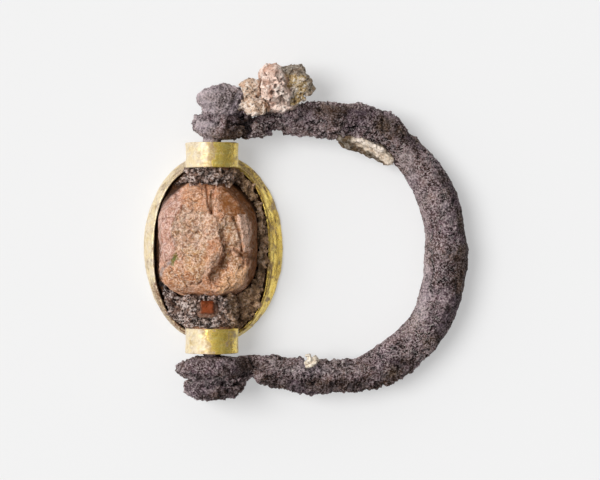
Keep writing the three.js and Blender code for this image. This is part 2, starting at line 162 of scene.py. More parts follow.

# Fixed tints, with red, green and blue from 0 to 255
# Some tints are painted light and shade: glint and gleam are painted highlights, and crumb, bloom and grit
# partly so; the pits, hollow, plate edge, gap and the soil's and the stone's gap shade are painted shade, and
# the loam partly so; brown crust is partly painted light and thin film partly painted shade
TINTS = {
    "rust": (150, 116, 92), "violet": (142, 118, 138), "glint": (255, 246, 238),
    "old gold": (168, 120, 38), "gleam": (255, 248, 170), "bronze": (150, 96, 30), "gilt": (255, 244, 160),
    "thin film": (166, 136, 98), "film soil": (172, 130, 84), "film bloom": (255, 248, 232),
    "tan": (238, 204, 180), "straw": (228, 182, 138), "amber": (204, 140, 96), "umber": (126, 72, 20),
    "russet": (120, 66, 38), "ochre": (208, 162, 100), "olive": (178, 152, 124), "rose": (228, 186, 158),
    "blush": (246, 206, 182), "peach": (255, 200, 150), "mauve": (198, 158, 150), "pearl": (222, 196, 184),
    "loam and shade": (84, 56, 28), "gap shade": (34, 22, 14), "crust": (134, 104, 92), "brick": (132, 60, 26),
    "ash": (140, 134, 136), "verdigris": (96, 110, 46), "cream": (242, 220, 196), "sepia": (96, 54, 30),
    "vein": (206, 132, 78), "hollow": (128, 82, 52), "crumb": (255, 236, 216), "crack": (70, 36, 18),
    "speck": (64, 32, 16), "honey": (222, 160, 84),
    "grey crust": (204, 178, 168), "brown crust": (240, 194, 148), "pale crust": (236, 206, 188),
    "plate edge": (92, 64, 44), "deep pit": (18, 11, 7), "crust pit": (26, 16, 10), "gap": (14, 9, 6),
    "bloom": (255, 240, 228), "soil shade": (170, 132, 108), "grit": (255, 250, 240),
    "rose earth": (206, 164, 144), "grey clay": (142, 128, 112), "lump": (222, 190, 164),
    "lump hollow": (212, 170, 138), "scale": (230, 212, 190), "scale edge": (88, 72, 50),
    "scale pit": (58, 42, 30), "cream lime": (246, 234, 214), "lime pit": (186, 152, 120),
    "paper grain": (236, 236, 236),
}

# The rim's section, from its outer foot over the lip to its inner foot: inset and height
RIM_SECTION = (
    (0.0, 0.0),
    (-0.08, 0.12),
    (-0.08, 0.36),
    (-0.06, 0.75),
    (0.06, 1.05),
    (0.0, 1.3),
    (0.1, 1.66),
    (-0.02, 1.8),
    (0.04, 1.95),
    (0.2, 1.98),
    (0.3, 1.86),
    (0.3, 1.5),
    (0.24, 0.72),
    (1.45, 0.0),
)

# A collar's section, from its outer end to its inner end: radius as a share and place along the tube
COLLAR_SECTION = (
    (0.875, 0.0),
    (1.03, 0.0),
    (1.015, 0.55),
    (1.01, 1.2),
    (1.015, 1.85),
    (1.03, 2.38),
    (0.875, 2.38),
)

# Worn, broken and stained places on the beetle's back, seen from above. Each has an outline, the
# width of its soft edge, how far it is sunk, how rough it is, its pigment and how much that covers.
# The dark loam in the sunk hollows is partly painted shade, and the stone's left edge has painted shadow.
BACK_PATCHES = (
    (
        ((-5.5, 6.5), (-3.0, 6.5), (-2.6, 3.6), (-3.3, 1.2), (-3.0, -1.2), (-5.5, -1.6)),
        0.8, 0.0, 0.1, "mauve", 0.9,
    ),
    (
        ((1.2, 6.4), (4.2, 5.6), (4.6, 2.4), (3.62, 2.4), (2.9, 2.9), (2.4, 2.6), (1.3, 2.9), (0.8, 3.6),
         (0.85, 4.6)),
        0.3, 0.08, 0.15, "umber", 0.9,
    ),
    (
        ((3.3, 3.6), (4.4, 4.6), (5.2, 2.9), (5.2, -4.6), (3.4, -4.7), (3.2, -4.1), (3.42, -3.2), (3.5, -1.4),
         (3.7, -0.6), (3.7, 2.4)),
        0.14, 0.3, 0.2, "umber", 0.95,
    ),
    (
        ((-2.60, 4.92), (-0.60, 5.1), (-0.45, 3.27), (-1.25, 3.0), (-2.75, 3.6)),
        0.5, 0.0, 0.3, "amber", 0.55,
    ),
    (
        ((-2.50, 4.02), (-3.16, 3.05), (-3.65, 2.01), (-3.69, 1.27), (-3.31, 0.46), (-3.24, -0.20),
         (-2.58, -0.72), (-1.54, -0.35), (-0.36, -0.13), (-0.21, 0.69), (0.68, 0.98), (0.9, 2.31),
         (0.61, 3.05), (-0.51, 3.19), (-1.54, 3.64)),
        0.12, 0.18, 0.65, "tan", 0.9,
    ),
    (
        ((-0.24, 3.2), (0.24, 3.2), (0.68, 2.07), (0.85, 0.95), (0.1, 0.9), (-0.2, 2.07)),
        0.1, -0.18, 0.4, "rose", 0.7,
    ),
    (
        ((-2.35, -0.27), (-0.51, -0.13), (-0.36, -1.39), (-0.87, -2.87), (-1.99, -2.50), (-2.58, -1.39)),
        0.25, -0.16, 0.6, "straw", 0.75,
    ),
    (
        ((-4.30, -1.98), (-3.09, -1.61), (-2.14, -2.13), (-0.95, -2.87), (-0.95, -3.46), (-1.99, -3.61),
         (-2.72, -4.20), (-3.83, -4.1), (-4.4, -3.09)),
        0.2, -0.1, 0.5, "amber", 0.7,
    ),
    (
        ((0.97, 2.75), (2.4, 2.85), (2.75, 2.01), (2.9, 0.83), (2.68, 0.10), (1.86, 0.39), (0.97, 0.83),
         (0.76, 1.57)),
        0.16, 0.2, 0.45, "olive", 0.9,
    ),
    (
        ((0.75, 1.75), (1.2, 1.9), (1.35, 1.2), (1.9, 0.55), (2.5, 0.35), (2.3, -0.05), (1.3, 0.2),
         (0.8, 0.85)),
        0.12, 0.15, 0.4, "loam and shade", 0.5,
    ),
    (
        ((2.5, 3.1), (3.2, 3.1), (3.6, 2.4), (3.65, 0.83), (3.58, -0.2), (3.2, -0.3), (2.98, 0.46),
         (2.85, 1.4), (2.6, 2.3)),
        0.08, -0.22, 0.1, "blush", 0.95,
    ),
    (
        ((2.01, -0.65), (3.20, -1.24), (3.34, -1.46), (1.72, -2.50), (0.83, -3.16), (0.97, -2.50),
         (1.72, -1.53)),
        0.15, 0.12, 0.7, "straw", 0.6,
    ),
    (
        ((1.72, -2.50), (3.34, -1.46), (3.38, -2.72), (2.83, -3.76), (1.72, -4.20), (0.68, -4.20),
         (0.76, -3.24)),
        0.1, -0.2, 0.2, "peach", 0.85,
    ),
    (
        ((0.97, 0.46), (1.72, 0.24), (2.01, -0.35), (2.01, -1.02), (1.42, -1.68), (0.97, -2.50),
         (0.46, -3.24), (-0.06, -3.09), (-0.21, -2.50), (0.68, -1.39), (1.27, -0.65), (1.20, -0.05)),
        0.16, 0.5, 0.5, "loam and shade", 0.85,
    ),
    (
        ((-0.21, -0.72), (0.68, -0.50), (0.97, -0.94), (0.68, -1.53), (-0.06, -2.21), (-0.43, -1.61)),
        0.14, -0.25, 0.4, "tan", 0.5,
    ),
    (
        ((-3.5, -0.5), (-3.05, -0.45), (-3.0, -1.02), (-3.55, -1.7), (-3.95, -1.5)),
        0.08, 0.05, 0.3, "verdigris", 0.95,
    ),
    (
        ((-2.9, -4.6), (1.5, -4.6), (1.5, -6.9), (-2.9, -6.9)),
        0.1, 0.3, 0.2, "crust", 1.0,
    ),
    (
        ((-0.95, -4.85), (0.35, -4.85), (0.35, -6.15), (-0.95, -6.15)),
        0.14, -0.62, 0.0, "brick", 1.0,
    ),
    # The stone's left edge, painted near black as the shadow of the gap beside it
    (
        ((-5.7, 1.3), (-5.02, 0.9), (-4.88, -0.5), (-4.98, -2.0), (-4.62, -2.9), (-5.4, -3.6)),
        0.12, 0.5, 0.3, "gap shade", 0.95,
    ),
)

# Height above which the stone's back is flattened, and by what share
BACK_BROW = 6.6
BACK_FLATTENING = 0.3

# Cuts and cracks in the back: the line, its half width, its depth, its pigment and how much that covers.
# The loam that darkens them is partly painted shade.
BACK_CUTS = (
    (((-0.51, 6.27), (-0.32, 4.90), (-0.21, 3.94), (0.09, 3.20)), 0.13, 0.24, "russet", 0.8),
    (((0.35, 6.27), (0.23, 4.90), (0.20, 3.79), (0.13, 3.20)), 0.11, 0.2, "russet", 0.7),
    (((0.02, 5.4), (0.02, 4.90), (0.06, 3.3)), 0.09, 0.22, "loam and shade", 0.95),
    (((2.2, -0.15), (2.7, -0.45), (3.1, -0.8), (3.6, -0.85), (4.30, -1.2)), 0.16, 0.35, "loam and shade", 0.75),
    (((2.75, -0.7), (3.3, -0.5), (3.9, -0.7)), 0.2, 0.15, "umber", 0.7),
    (((-1.84, -3.42), (-1.25, -3.39), (-0.80, -3.09)), 0.09, 0.22, "loam and shade", 0.9),
    (((2.15, 2.9), (2.4, 2.2), (2.65, 1.2), (2.8, 0.4), (2.95, -0.3)), 0.13, 0.28, "loam and shade", 0.85),
    (((0.3, -4.5), (0.05, -3.6), (-0.1, -2.9)), 0.06, 0.1, "russet", 0.6),
    (((-3.90, -1.39), (-4.57, -1.98), (-4.72, -2.57)), 0.22, -0.03, "ash", 0.8),
    (((-4.72, 0.80), (-3.53, 0.83)), 0.05, 0.04, "umber", 0.6),
    # A raised line at the left edge of the worn place, pale as a painted highlight
    (((-3.58, 2.07), (-3.69, 1.27), (-3.39, 0.24)), 0.1, -0.1, "pearl", 0.7),
    (((-2.6, 4.0), (-3.3, 3.0), (-3.66, 2.0)), 0.08, 0.05, "russet", 0.7),
    (((-3.2, -4.1), (-2.0, -4.45), (0.0, -4.6), (1.8, -4.5)), 0.1, 0.12, "loam and shade", 0.8),
)

# Pushes that take the stone's corners off the CAD's even outline: where, how wide and which way
STONE_PUSHES = (
    ((-4.1, 5.6, 4.2), 1.7, (0.8, -0.7, 0)),
    ((3.6, 5.6, 4.2), 1.7, (-0.9, -0.7, 0)),
    ((3.7, -4.2, 4.2), 1.3, (-0.2, 0.1, 0)),
    ((-4.8, -2.9, 4.2), 1.5, (-0.32, -0.12, 0)),
    ((-5.3, -0.8, 4.0), 2.2, (0.12, 0, 0)),
    ((0.3, -4.0, 6.0), 1.6, (0, -0.35, 0.05)),
    ((3.3, -2.8, 6.0), 1.2, (0.2, 0, 0.15)),
)

# Lumps of crust round the beetle's head: place, half sizes and turn
FILL_LUMPS = (
    ((-1.75, -5.4, 5.0), (0.85, 0.95, 1.0), 0.3),
    ((-1.5, -4.8, 5.0), (0.6, 0.45, 1.0), 0.0),
    ((-0.2, -4.58, 4.95), (0.9, 0.24, 0.9), 0.0),
    ((1.05, -4.9, 4.9), (0.5, 0.55, 0.9), 0.2),
    ((1.05, -5.8, 4.9), (0.52, 0.8, 0.9), -0.2),
    ((-0.3, -6.7, 4.7), (1.2, 0.5, 0.95), 0.0),
    ((-1.55, -6.2, 4.7), (0.5, 0.55, 0.9), 0.0),
)

# Paler places in that crust, seen from above, with how far they reach each way
FILL_PALE = (
    ((-1.75, -5.3), (0.7, 0.8)),
    ((-0.9, -6.9), (1.3, 0.4)),
    ((-3.0, -5.6), (0.5, 0.6)),
    ((0.6, 5.9), (1.4, 0.3)),
)

# Stained places on the gold rim, seen from above, with how far soil and film cover them
RIM_STAINS = (
    (((2.6, 8.44), (4.71, 6.9), (5.3, 5.56), (4.14, 5.94), (2.7, 7.3)), 0.75),
    (
        ((-6.0, -3.6), (-5.4, -5.6), (-3.4, -8.0), (-2.4, -8.6), (-2.4, -6.9), (-4.12, -4.6), (-5.2, -2.6)),
        0.9,
    ),
    (
        ((4.71, 4.98), (5.48, 2.49), (5.67, -0.2), (5.48, -3.08), (4.71, -5.48), (4.33, -5.0), (5.1, -2.6),
         (5.29, -0.2), (5.1, 2.2), (4.33, 4.6)),
        0.45,
    ),
    (((5.9, 4.4), (6.4, 3.6), (6.75, 1.9), (6.35, 2.2), (5.9, 3.8)), 0.4),
    (((6.3, 0.3), (6.8, 0.2), (6.8, -2.7), (6.35, -2.3)), 0.35),
    (((-4.7, 5.94), (-2.78, 8.44), (-2.58, 7.5), (-3.93, 5.3)), 0.5),
)

# Dark lines of painted groove shade along the rim's wall, on its right side: height and how dark
RIM_GROOVE_SHADE = ((0.3, 0.8), (0.95, 0.5), (1.62, 0.9))

# Smooth places in the hoop's crust, seen from above, with how smooth each one is and its shade, which
# is pale below 0 and dark above it. That shade is partly the crust's own tone and partly painted light
# and painted shade, paler on the inner side and darker on the outer side
HOOP_PATCHES = (
    (
        ((8.36, 13.58), (12.60, 13.87), (15.15, 13.11), (17.79, 11.79), (20.33, 9.25), (19.49, 8.68),
         (17.60, 10.19), (14.96, 11.89), (12.13, 12.64), (8.36, 12.45)),
        0.5, 0.9,
    ),
    (
        ((17.41, 9.25), (18.92, 9.25), (20.05, 6.42), (21.18, 3.12), (21.56, -0.18), (21.18, -3.95),
         (20.05, -6.78), (18.54, -9.14), (17.22, -8.48), (18.73, -6.59), (19.86, -3.48), (20.05, -0.18),
         (19.67, 3.12), (18.54, 6.42)),
        0.45, -0.5,
    ),
    (
        ((21.56, 8.02), (23.45, 5.47), (24.48, 2.17), (24.67, -0.65), (24.20, -3.95), (23.16, -6.97),
         (21.56, -9.33), (20.62, -8.67), (22.31, -5.84), (23.26, -3.01), (23.45, 0.76), (22.69, 4.06),
         (21.37, 6.42)),
        0.3, 1.3,
    ),
    (((17.13, -10.37), (18.92, -10.18), (19.67, -11.50), (18.73, -13.10), (17.03, -13.01)), 0.4, 0.8),
    (((5.0, -10.4), (8.6, -10.8), (13.0, -10.8), (13.0, -11.8), (5.0, -11.8)), 0.2, -0.8),
    (((4.5, -12.0), (13.5, -12.3), (17.5, -11.7), (17.5, -14.2), (4.5, -14.2)), 0.1, 1.0),
    (((-2.6, -10.6), (3.6, -10.6), (3.6, -12.2), (-2.6, -12.2)), 0.2, 0.5),
    (
        ((-2.95, -10.18), (-1.07, -9.80), (1.5, -10.0), (1.0, -11.2), (-1.26, -11.87), (-2.95, -11.87)),
        0.4, -0.35,
    ),
    (((2.2, -10.2), (4.6, -10.2), (4.6, -11.6), (2.2, -11.9)), 0.5, 0.6),
    (((-2.2, 12.6), (1.2, 12.6), (1.2, 11.2), (-2.2, 11.0)), 0.3, -0.5),
    (((1.6, 12.5), (3.6, 12.5), (3.6, 10.0), (1.6, 10.0)), 0.2, 0.7),
    (((-1.2, 9.8), (0.4, 9.8), (0.2, 12.0), (-1.7, 12.3)), 0.75, -0.9),
    (((0.9, 9.8), (3.6, 9.8), (3.6, 11.9), (0.9, 12.2)), 0.2, 0.2),
    (((3.6, 9.8), (5.2, 9.8), (5.2, 11.3), (3.6, 11.3)), 0.2, -0.2),
    (((13.7, -10.3), (14.9, -10.6), (15.2, -11.6), (14.0, -11.5)), 0.2, 0.5),
)

# Earth in the silver's crust, seen from above, with how far it covers the silver
HOOP_EARTH = (
    (((3.7, 11.7), (5.2, 11.6), (5.3, 10.6), (4.0, 10.4)), 0.9),
    (((17.75, 11.4), (18.15, 11.4), (18.15, 11.0), (17.75, 11.0)), 1.0),
    (((19.3, 10.0), (19.7, 10.0), (19.7, 9.6), (19.3, 9.6)), 0.9),
    (((20.5, 9.2), (20.9, 9.2), (20.9, 8.8), (20.5, 8.8)), 0.9),
    (((21.6, 5.5), (22.6, 5.4), (22.5, 4.4), (21.5, 4.5)), 0.7),
    (((10.1, 14.1), (14.8, 13.8), (14.8, 13.2), (10.1, 13.4)), 0.6),
    (((16.4, -10.8), (17.9, -10.9), (17.9, -12.2), (16.5, -12.4)), 0.6),
    (((20.2, -8.3), (20.9, -8.3), (21.0, -9.7), (20.3, -9.7)), 0.8),
    (((4.4, -10.4), (6.2, -10.2), (6.2, -11.2), (4.6, -11.4)), 0.5),
    (((-0.6, -13.9), (1.0, -13.9), (1.0, -14.6), (-0.6, -14.6)), 0.6),
)

# The same places in the wire's crust
WIRE_PATCHES = (
    (((-1.5, 8.8), (1.5, 8.8), (1.5, 11.0), (-1.5, 11.0)), 0.6, -0.8),
    (((-1.7, 15.8), (-0.1, 15.6), (0.3, 14.15), (-0.1, 12.7), (-1.7, 12.7)), 0.9, -1.5),
    (((0.2, 15.8), (3.6, 15.8), (3.6, 12.6), (0.2, 12.6)), 0.4, -2.0),
    (((-3.0, -12.3), (-0.8, -12.3), (-0.8, -14.6), (-3.0, -14.6)), 0.3, -0.2),
    (((-0.6, -12.6), (3.4, -12.6), (3.4, -14.6), (-0.6, -14.6)), 0.1, 0.5),
)

# Lumps of crust that the eyes and the wire's heads have grown: place, half sizes and turn
HOOP_LUMPS = (
    ((1.4, 10.75, 3.5), (1.3, 0.45, 1.6), 0.0),
    ((0.9, 12.5, 3.7), (1.9, 0.5, 1.9), 0.0),
    ((3.1, 11.9, 3.3), (0.9, 0.8, 1.2), 0.3),
    ((3.1, 12.8, 3.2), (0.6, 0.6, 1.0), 0.0),
    ((5.4, 12.6, 3.0), (1.1, 0.6, 0.9), 0.0),
    ((-2.5, -11.5, 3.3), (0.8, 0.8, 1.9), 0.0),
    ((-1.6, -12.15, 3.3), (0.75, 0.45, 1.6), 0.0),
    ((3.1, -11.7, 3.0), (0.8, 1.0, 1.7), 0.2),
    ((5.8, -10.6, 3.4), (0.8, 0.5, 0.9), 0.2),
    ((12.2, 13.2, 3.2), (1.3, 0.5, 0.8), 0.0),
    ((21.6, 5.9, 3.2), (0.5, 0.9, 0.8), 0.4),
    ((15.2, -10.6, 3.0), (1.0, 0.5, 0.8), 0.3),
    ((18.9, -11.0, 2.4), (0.7, 0.6, 0.9), 0.5),
    ((17.2, -12.25, 2.4), (1.3, 0.6, 0.9), 0.25),
    ((17.3, 12.0, 2.8), (1.4, 0.5, 0.9), -0.6),
)
WIRE_LUMPS = (
    ((0.9, 12.85, 3.6), (2.1, 0.6, 1.9), 0.0),
    ((-0.4, 14.1, 3.6), (1.0, 1.1, 1.8), 0.0),
    ((0.8, -12.45, 3.4), (2.6, 0.45, 2.2), 0.0),
    ((2.9, -12.6, 3.1), (0.7, 0.8, 1.6), 0.2),
    ((-2.1, -13.2, 3.4), (0.7, 0.7, 1.7), 0.0),
)

# Pushes that shape the eyes' crust: where, how wide and which way
HOOP_PUSHES = (
    ((-1.7, 10.0, 3.3), 1.0, (0.15, 0.95, 0)),
    ((-0.8, 10.1, 4.2), 0.8, (0, 0.55, 0)),
    ((-2.5, 11.2, 3.3), 1.0, (0.45, 0.05, 0)),
    ((4.4, 10.0, 3.3), 1.0, (-0.3, 0.75, 0)),
)
WIRE_PUSHES = (
    ((-1.3, 15.5, 3.4), 0.85, (0.55, -0.5, 0)),
    ((-1.5, 12.9, 3.4), 0.7, (0.35, 0.2, 0)),
    ((2.6, 15.5, 3.4), 0.8, (-0.3, -0.45, 0)),
    ((3.0, -13.7, 3.3), 1.0, (-0.8, 0.3, 0)),
)

# Cracks in the silver's crust, seen from above: the line, its half width and its depth
HOOP_CRACKS = (
    (((20.8, 2.7), (20.95, 1.7), (20.7, 0.6)), 0.1, 0.3),
    (((20.85, -0.4), (20.9, -1.7), (20.95, -2.6), (20.7, -3.5), (20.9, -4.6)), 0.12, 0.35),
    (((21.7, 2.1), (21.5, 1.3)), 0.14, 0.35),
    (((22.9, 4.3), (23.05, 4.6)), 0.2, 0.45),
    (((20.6, -0.1), (20.75, -0.3)), 0.14, 0.4),
    (((-1.8, 12.8), (0.2, 12.85), (1.6, 12.85), (2.8, 12.5)), 0.2, 0.6),
    (((3.9, 12.4), (3.3, 11.6), (3.6, 10.9), (3.2, 10.2)), 0.2, 0.5),
    (((1.9, 11.9), (2.6, 11.7), (3.3, 11.9)), 0.2, 0.5),
    (((-3.2, -12.1), (-1.6, -12.0), (0.4, -12.2), (2.2, -12.5), (3.8, -12.2)), 0.16, 0.35),
    (((3.5, -10.3), (3.9, -11.2), (4.6, -11.7)), 0.14, 0.3),
    (((8.9, -11.4), (9.6, -11.8), (9.2, -12.6), (9.9, -13.2)), 0.1, 0.2),
    (((6.0, 12.7), (6.9, 12.2), (7.5, 12.35)), 0.12, 0.25),
    (((12.9, 10.9), (13.7, 11.5), (14.9, 11.2)), 0.16, 0.35),
)

WIRE_CRACKS = (
    (((-1.8, 12.75), (0.2, 12.85), (1.6, 12.9), (3.6, 12.7)), 0.22, 0.7),
    (((-3.2, -12.35), (-1.6, -12.3), (0.4, -12.5), (2.2, -12.8), (3.8, -12.5)), 0.14, 0.4),
)

# Outline that the crag was broken to, seen from above
CRAG_OUTLINE = ((5.92, 17.4), (4.6, 16.8), (4.3, 15.4), (5.5, 13.3), (7.35, 13.3), (8.0, 15.0), (7.05, 16.65))

# The crag's broken sides: the height of a point on each, their lean, and the steeper ones' share of it
CRAG_MIDDLE = 4.0
CRAG_LEAN = 0.4
CRAG_STEEPER = 0.35

# Planes that broke its top: a point on each one and the way it faces
CRAG_BREAKS = (
    ((5.4, 16.0, 6.3), (-0.5, 0.35, 1)),
    ((7.2, 15.6, 6.3), (0.75, 0.2, 1)),
    ((5.8, 14.2, 6.2), (-0.2, -0.7, 1)),
)

# Earth between the crag and the arm: place, half sizes and turn
CRAG_LUMPS = (
    ((6.3, 13.2, 3.8), (1.2, 0.5, 0.9), 0.05),
    ((7.5, 13.5, 3.6), (0.8, 0.45, 0.8), 0.2),
)

# Pits in the crag and in the soil's lumps: middle, half width and depth
CRAG_PITS = (
    ((6.58, 14.07), 0.24, 0.5), ((5.74, 14.53), 0.2, 0.4), ((4.8, 14.9), 0.12, 0.2),
    ((5.92, 15.85), 0.12, 0.2), ((6.67, 15.75), 0.1, 0.2), ((6.1, 15.1), 0.17, 0.3),
    ((7.05, 15.2), 0.1, 0.2), ((6.39, 14.6), 0.2, 0.4), ((6.86, 13.8), 0.14, 0.3),
    ((5.6, 13.8), 0.14, 0.3), ((5.17, 16.3), 0.1, 0.15), ((6.85, 14.6), 0.12, 0.2),
)
CLUSTER_PITS = (
    ((3.84, 15.64), 0.1, 0.1), ((4.2, 14.9), 0.15, 0.2), ((4.78, 14.7), 0.14, 0.2), ((3.46, 15.1), 0.1, 0.1),
    ((4.4, 14.2), 0.16, 0.25), ((4.97, 13.7), 0.1, 0.15), ((3.9, 13.5), 0.1, 0.15), ((5.3, 14.2), 0.15, 0.25),
)

# Blocks that the slab broke into: place, half sizes and turn about each axis
SLAB_BLOCKS = (
    ((7.65, 16.75, 4.0), (1.05, 0.42, 0.9), (0.3, 0.1, 0.12)),
    ((8.15, 16.85, 3.9), (0.42, 0.3, 0.7), (0.2, -0.3, 0.5)),
    ((8.05, 15.6, 4.1), (0.95, 1.1, 1.0), (0.25, 0.35, -0.55)),
    ((8.75, 15.35, 3.9), (0.75, 0.55, 0.9), (-0.3, 0.4, -0.95)),
    ((7.7, 14.5, 3.9), (0.8, 0.8, 0.8), (0.2, 0.2, 0.4)),
)

# Pushes that draw the soil's lower lump up towards the crag: where, how wide and which way
CLUSTER_PUSHES = (
    ((4.3, 11.5, 4.0), 1.3, (0.35, 1.5, 0)),
    ((5.2, 12.4, 4.0), 0.9, (0.2, 0.3, 0)),
)

# Grains that tuck the flake under the arm: place, half sizes and turn
FLAKE_LUMPS = (
    ((12.9, 10.3, 3.2), (1.1, 0.45, 0.5), -0.2),
    ((14.5, 9.95, 3.2), (1.1, 0.45, 0.5), -0.4),
    ((15.9, 9.25, 3.2), (0.9, 0.5, 0.5), -0.6),
    ((16.8, 8.5, 3.1), (0.6, 0.45, 0.45), -0.9),
)

# Line along the arm that the flake hangs from, seen from above
FLAKE_ROOT = ((12.2, 10.7), (14.0, 10.3), (15.6, 9.5), (16.7, 8.5), (17.4, 7.4))

# Pushes that thin the flake's lower edge: where, how wide and which way
FLAKE_PUSHES = (
    ((13.6, 8.6, 3.2), 1.1, (0.25, 0.6, 0)),
    ((15.3, 7.9, 3.2), 1.1, (0.3, 0.6, 0)),
)

# Grains of the lime crumb, as shares of its box from -1 to 1, with their half size in millimetres
CRUMB_GRAINS = (
    ((-0.45, 0.75, 0.3), 0.27),
    ((-0.25, 0.2, 0.4), 0.32),
    ((-0.7, -0.2, 0.2), 0.26),
    ((-0.55, -0.75, 0.1), 0.25),
    ((0.0, -0.6, 0.3), 0.28),
    ((0.2, 0.1, 0.1), 0.27),
    ((0.5, 0.5, 0.3), 0.24),
    ((0.8, 0.15, 0.1), 0.22),
    ((0.55, -0.25, 0.3), 0.24),
)


def linear(red, green, blue):
    """A colour from 0 to 255 as a lit surface holds it."""
    shares = (part / 255 for part in (red, green, blue))
    return tuple(x / 12.92 if x <= 0.04045 else ((x + 0.055) / 1.055) ** 2.4 for x in shares)


def tint(name):
    """A fixed tint as a lit surface holds it."""
    return linear(*TINTS[name])


def length(name, description, default):
    """A length that the sidebar shows in the scene's unit."""
    return bpy.props.FloatProperty(
        name=name, description=description, default=default * MM, min=0, precision=6, unit="LENGTH"
    )


def share(name, description, default):
    """A share of the whole, from 0 to 1."""
    return bpy.props.FloatProperty(
        name=name, description=description, default=default, min=0, max=1, subtype="FACTOR"
    )


def colour(name, description, *parts):
    """A colour with red, green and blue from 0 to 255."""
    return bpy.props.FloatVectorProperty(
        name=name, description=description, default=linear(*parts), min=0, max=1, size=3, subtype="COLOR"
    )


class RING_PG_silver(bpy.types.PropertyGroup):
    """The corroded silver of the hoop and the pivot wire."""

    skin: length("Skin", "Size of the faces that the crust is made of", 0.11)
    relief: length("Relief", "Height of the crust's ridges over its pits", 0.3)
    grain: length("Grain", "Width of the crust's ridges and pits", 0.42)
    body: colour("Body", "Grey purple of the crust", 148, 118, 119)
    # Dark is partly the crust's own browner tone and partly painted shade, on the outer side and in low
    # places; Pale is partly its own tone and partly painted light
    dark: colour("Dark", "Browner crust on the outer side", 64, 42, 32)
    pale: colour("Pale", "Pale smooth crust", 226, 208, 212)
    # The crest colour is a painted highlight on the ridges' tops, and the pit colour painted shade in the
    # pits
    ridge_highlight: colour("Crest", "Pale tops of the ridges", 238, 218, 220)
    pit_shade: colour("Pit", "Bottom of the pits", 20, 10, 8)
    earth: colour("Earth", "Soil stain in the crust", 150, 128, 92)


class RING_PG_gold(bpy.types.PropertyGroup):
    """The sheet gold of the rim, the collars and their discs."""

    dent: length("Dents", "Depth of the dents in the sheet", 0.07)
    metal: colour("Metal", "Polished gold", 255, 222, 108)
    # The film colour is partly lime and partly painted light on the gold's left side
    film: colour("Film", "Thin pale film of lime", 224, 210, 190)
    stain: colour("Stain", "Soil in the scratches and pits", 106, 58, 24)
    roughness: share("Roughness", "How dull the polish is", 0.24)


class RING_PG_stone(bpy.types.PropertyGroup):
    """The carved stone."""

    skin: length("Skin", "Size of the faces that the stone is made of", 0.096)
    body: colour("Body", "Brown of the smooth stone", 214, 154, 118)
    roughness: share("Roughness", "How dull the stone is", 0.5)


class RING_PG_soil(bpy.types.PropertyGroup):
    """The crust in the mount and the soil and lime on the silver."""

    skin: length("Skin", "Size of the faces that the soil is made of", 0.075)
    crust: colour("Crust", "Dark crust in the mount", 204, 164, 146)
    # The crust's pale specks are partly painted highlights
    crust_speck: colour("Crust specks", "Pale grains in the crust", 246, 230, 222)
    soil: colour("Soil", "Pinkish soil", 254, 224, 208)
    # The holes' colour is painted shade
    soil_pit_shade: colour("Soil pits", "Holes in the soil", 62, 42, 30)
    clay: colour("Clay", "Yellowish soil", 192, 162, 110)
    lime: colour("Lime", "Pale lime", 255, 242, 220)


class RING_PG_stage(bpy.types.PropertyGroup):
    """Floor, lights and camera."""

    floor: colour("Floor", "Pale floor", 241, 241, 241)
    sun: bpy.props.FloatProperty(name="Sun", description="Strength of the key light", default=2.4, min=0)
    sky: bpy.props.FloatProperty(name="Sky", description="Strength of the soft light", default=0.385, min=0)
    view_width: length("View width", "Width of the picture at the swivel axis", 57)
    distance: length("Distance", "From the camera to the swivel axis", 200)


class Socket:
    """A shader socket for Python sums. Each sum adds the Math node that works it out."""

    def __init__(self, finish, socket):
        self.finish = finish
        self.socket = socket

    def sum(self, operation, *values):
        return self.finish.add("ShaderNodeMath", {"operation": operation}, dict(enumerate(values)))

    def maths(self, operation, *values):
        """This socket through a Math node."""
        return self.sum(operation, self, *values)

    def __add__(self, other):
        return self.sum("ADD", self, other)

    def __radd__(self, other):
        return self.sum("ADD", other, self)

    def __sub__(self, other):
        return self.sum("SUBTRACT", self, other)

    def __rsub__(self, other):
        return self.sum("SUBTRACT", other, self)

    def __mul__(self, other):
        return self.sum("MULTIPLY", self, other)

    def __rmul__(self, other):
        return self.sum("MULTIPLY", other, self)

    def between(self, low, high):
        """0 below low, 1 above high and a smooth rise from one to the other."""
        return self.finish.add(
            "ShaderNodeMapRange", {"interpolation_type": "SMOOTHSTEP"}, {0: self, 1: low, 2: high}
        )


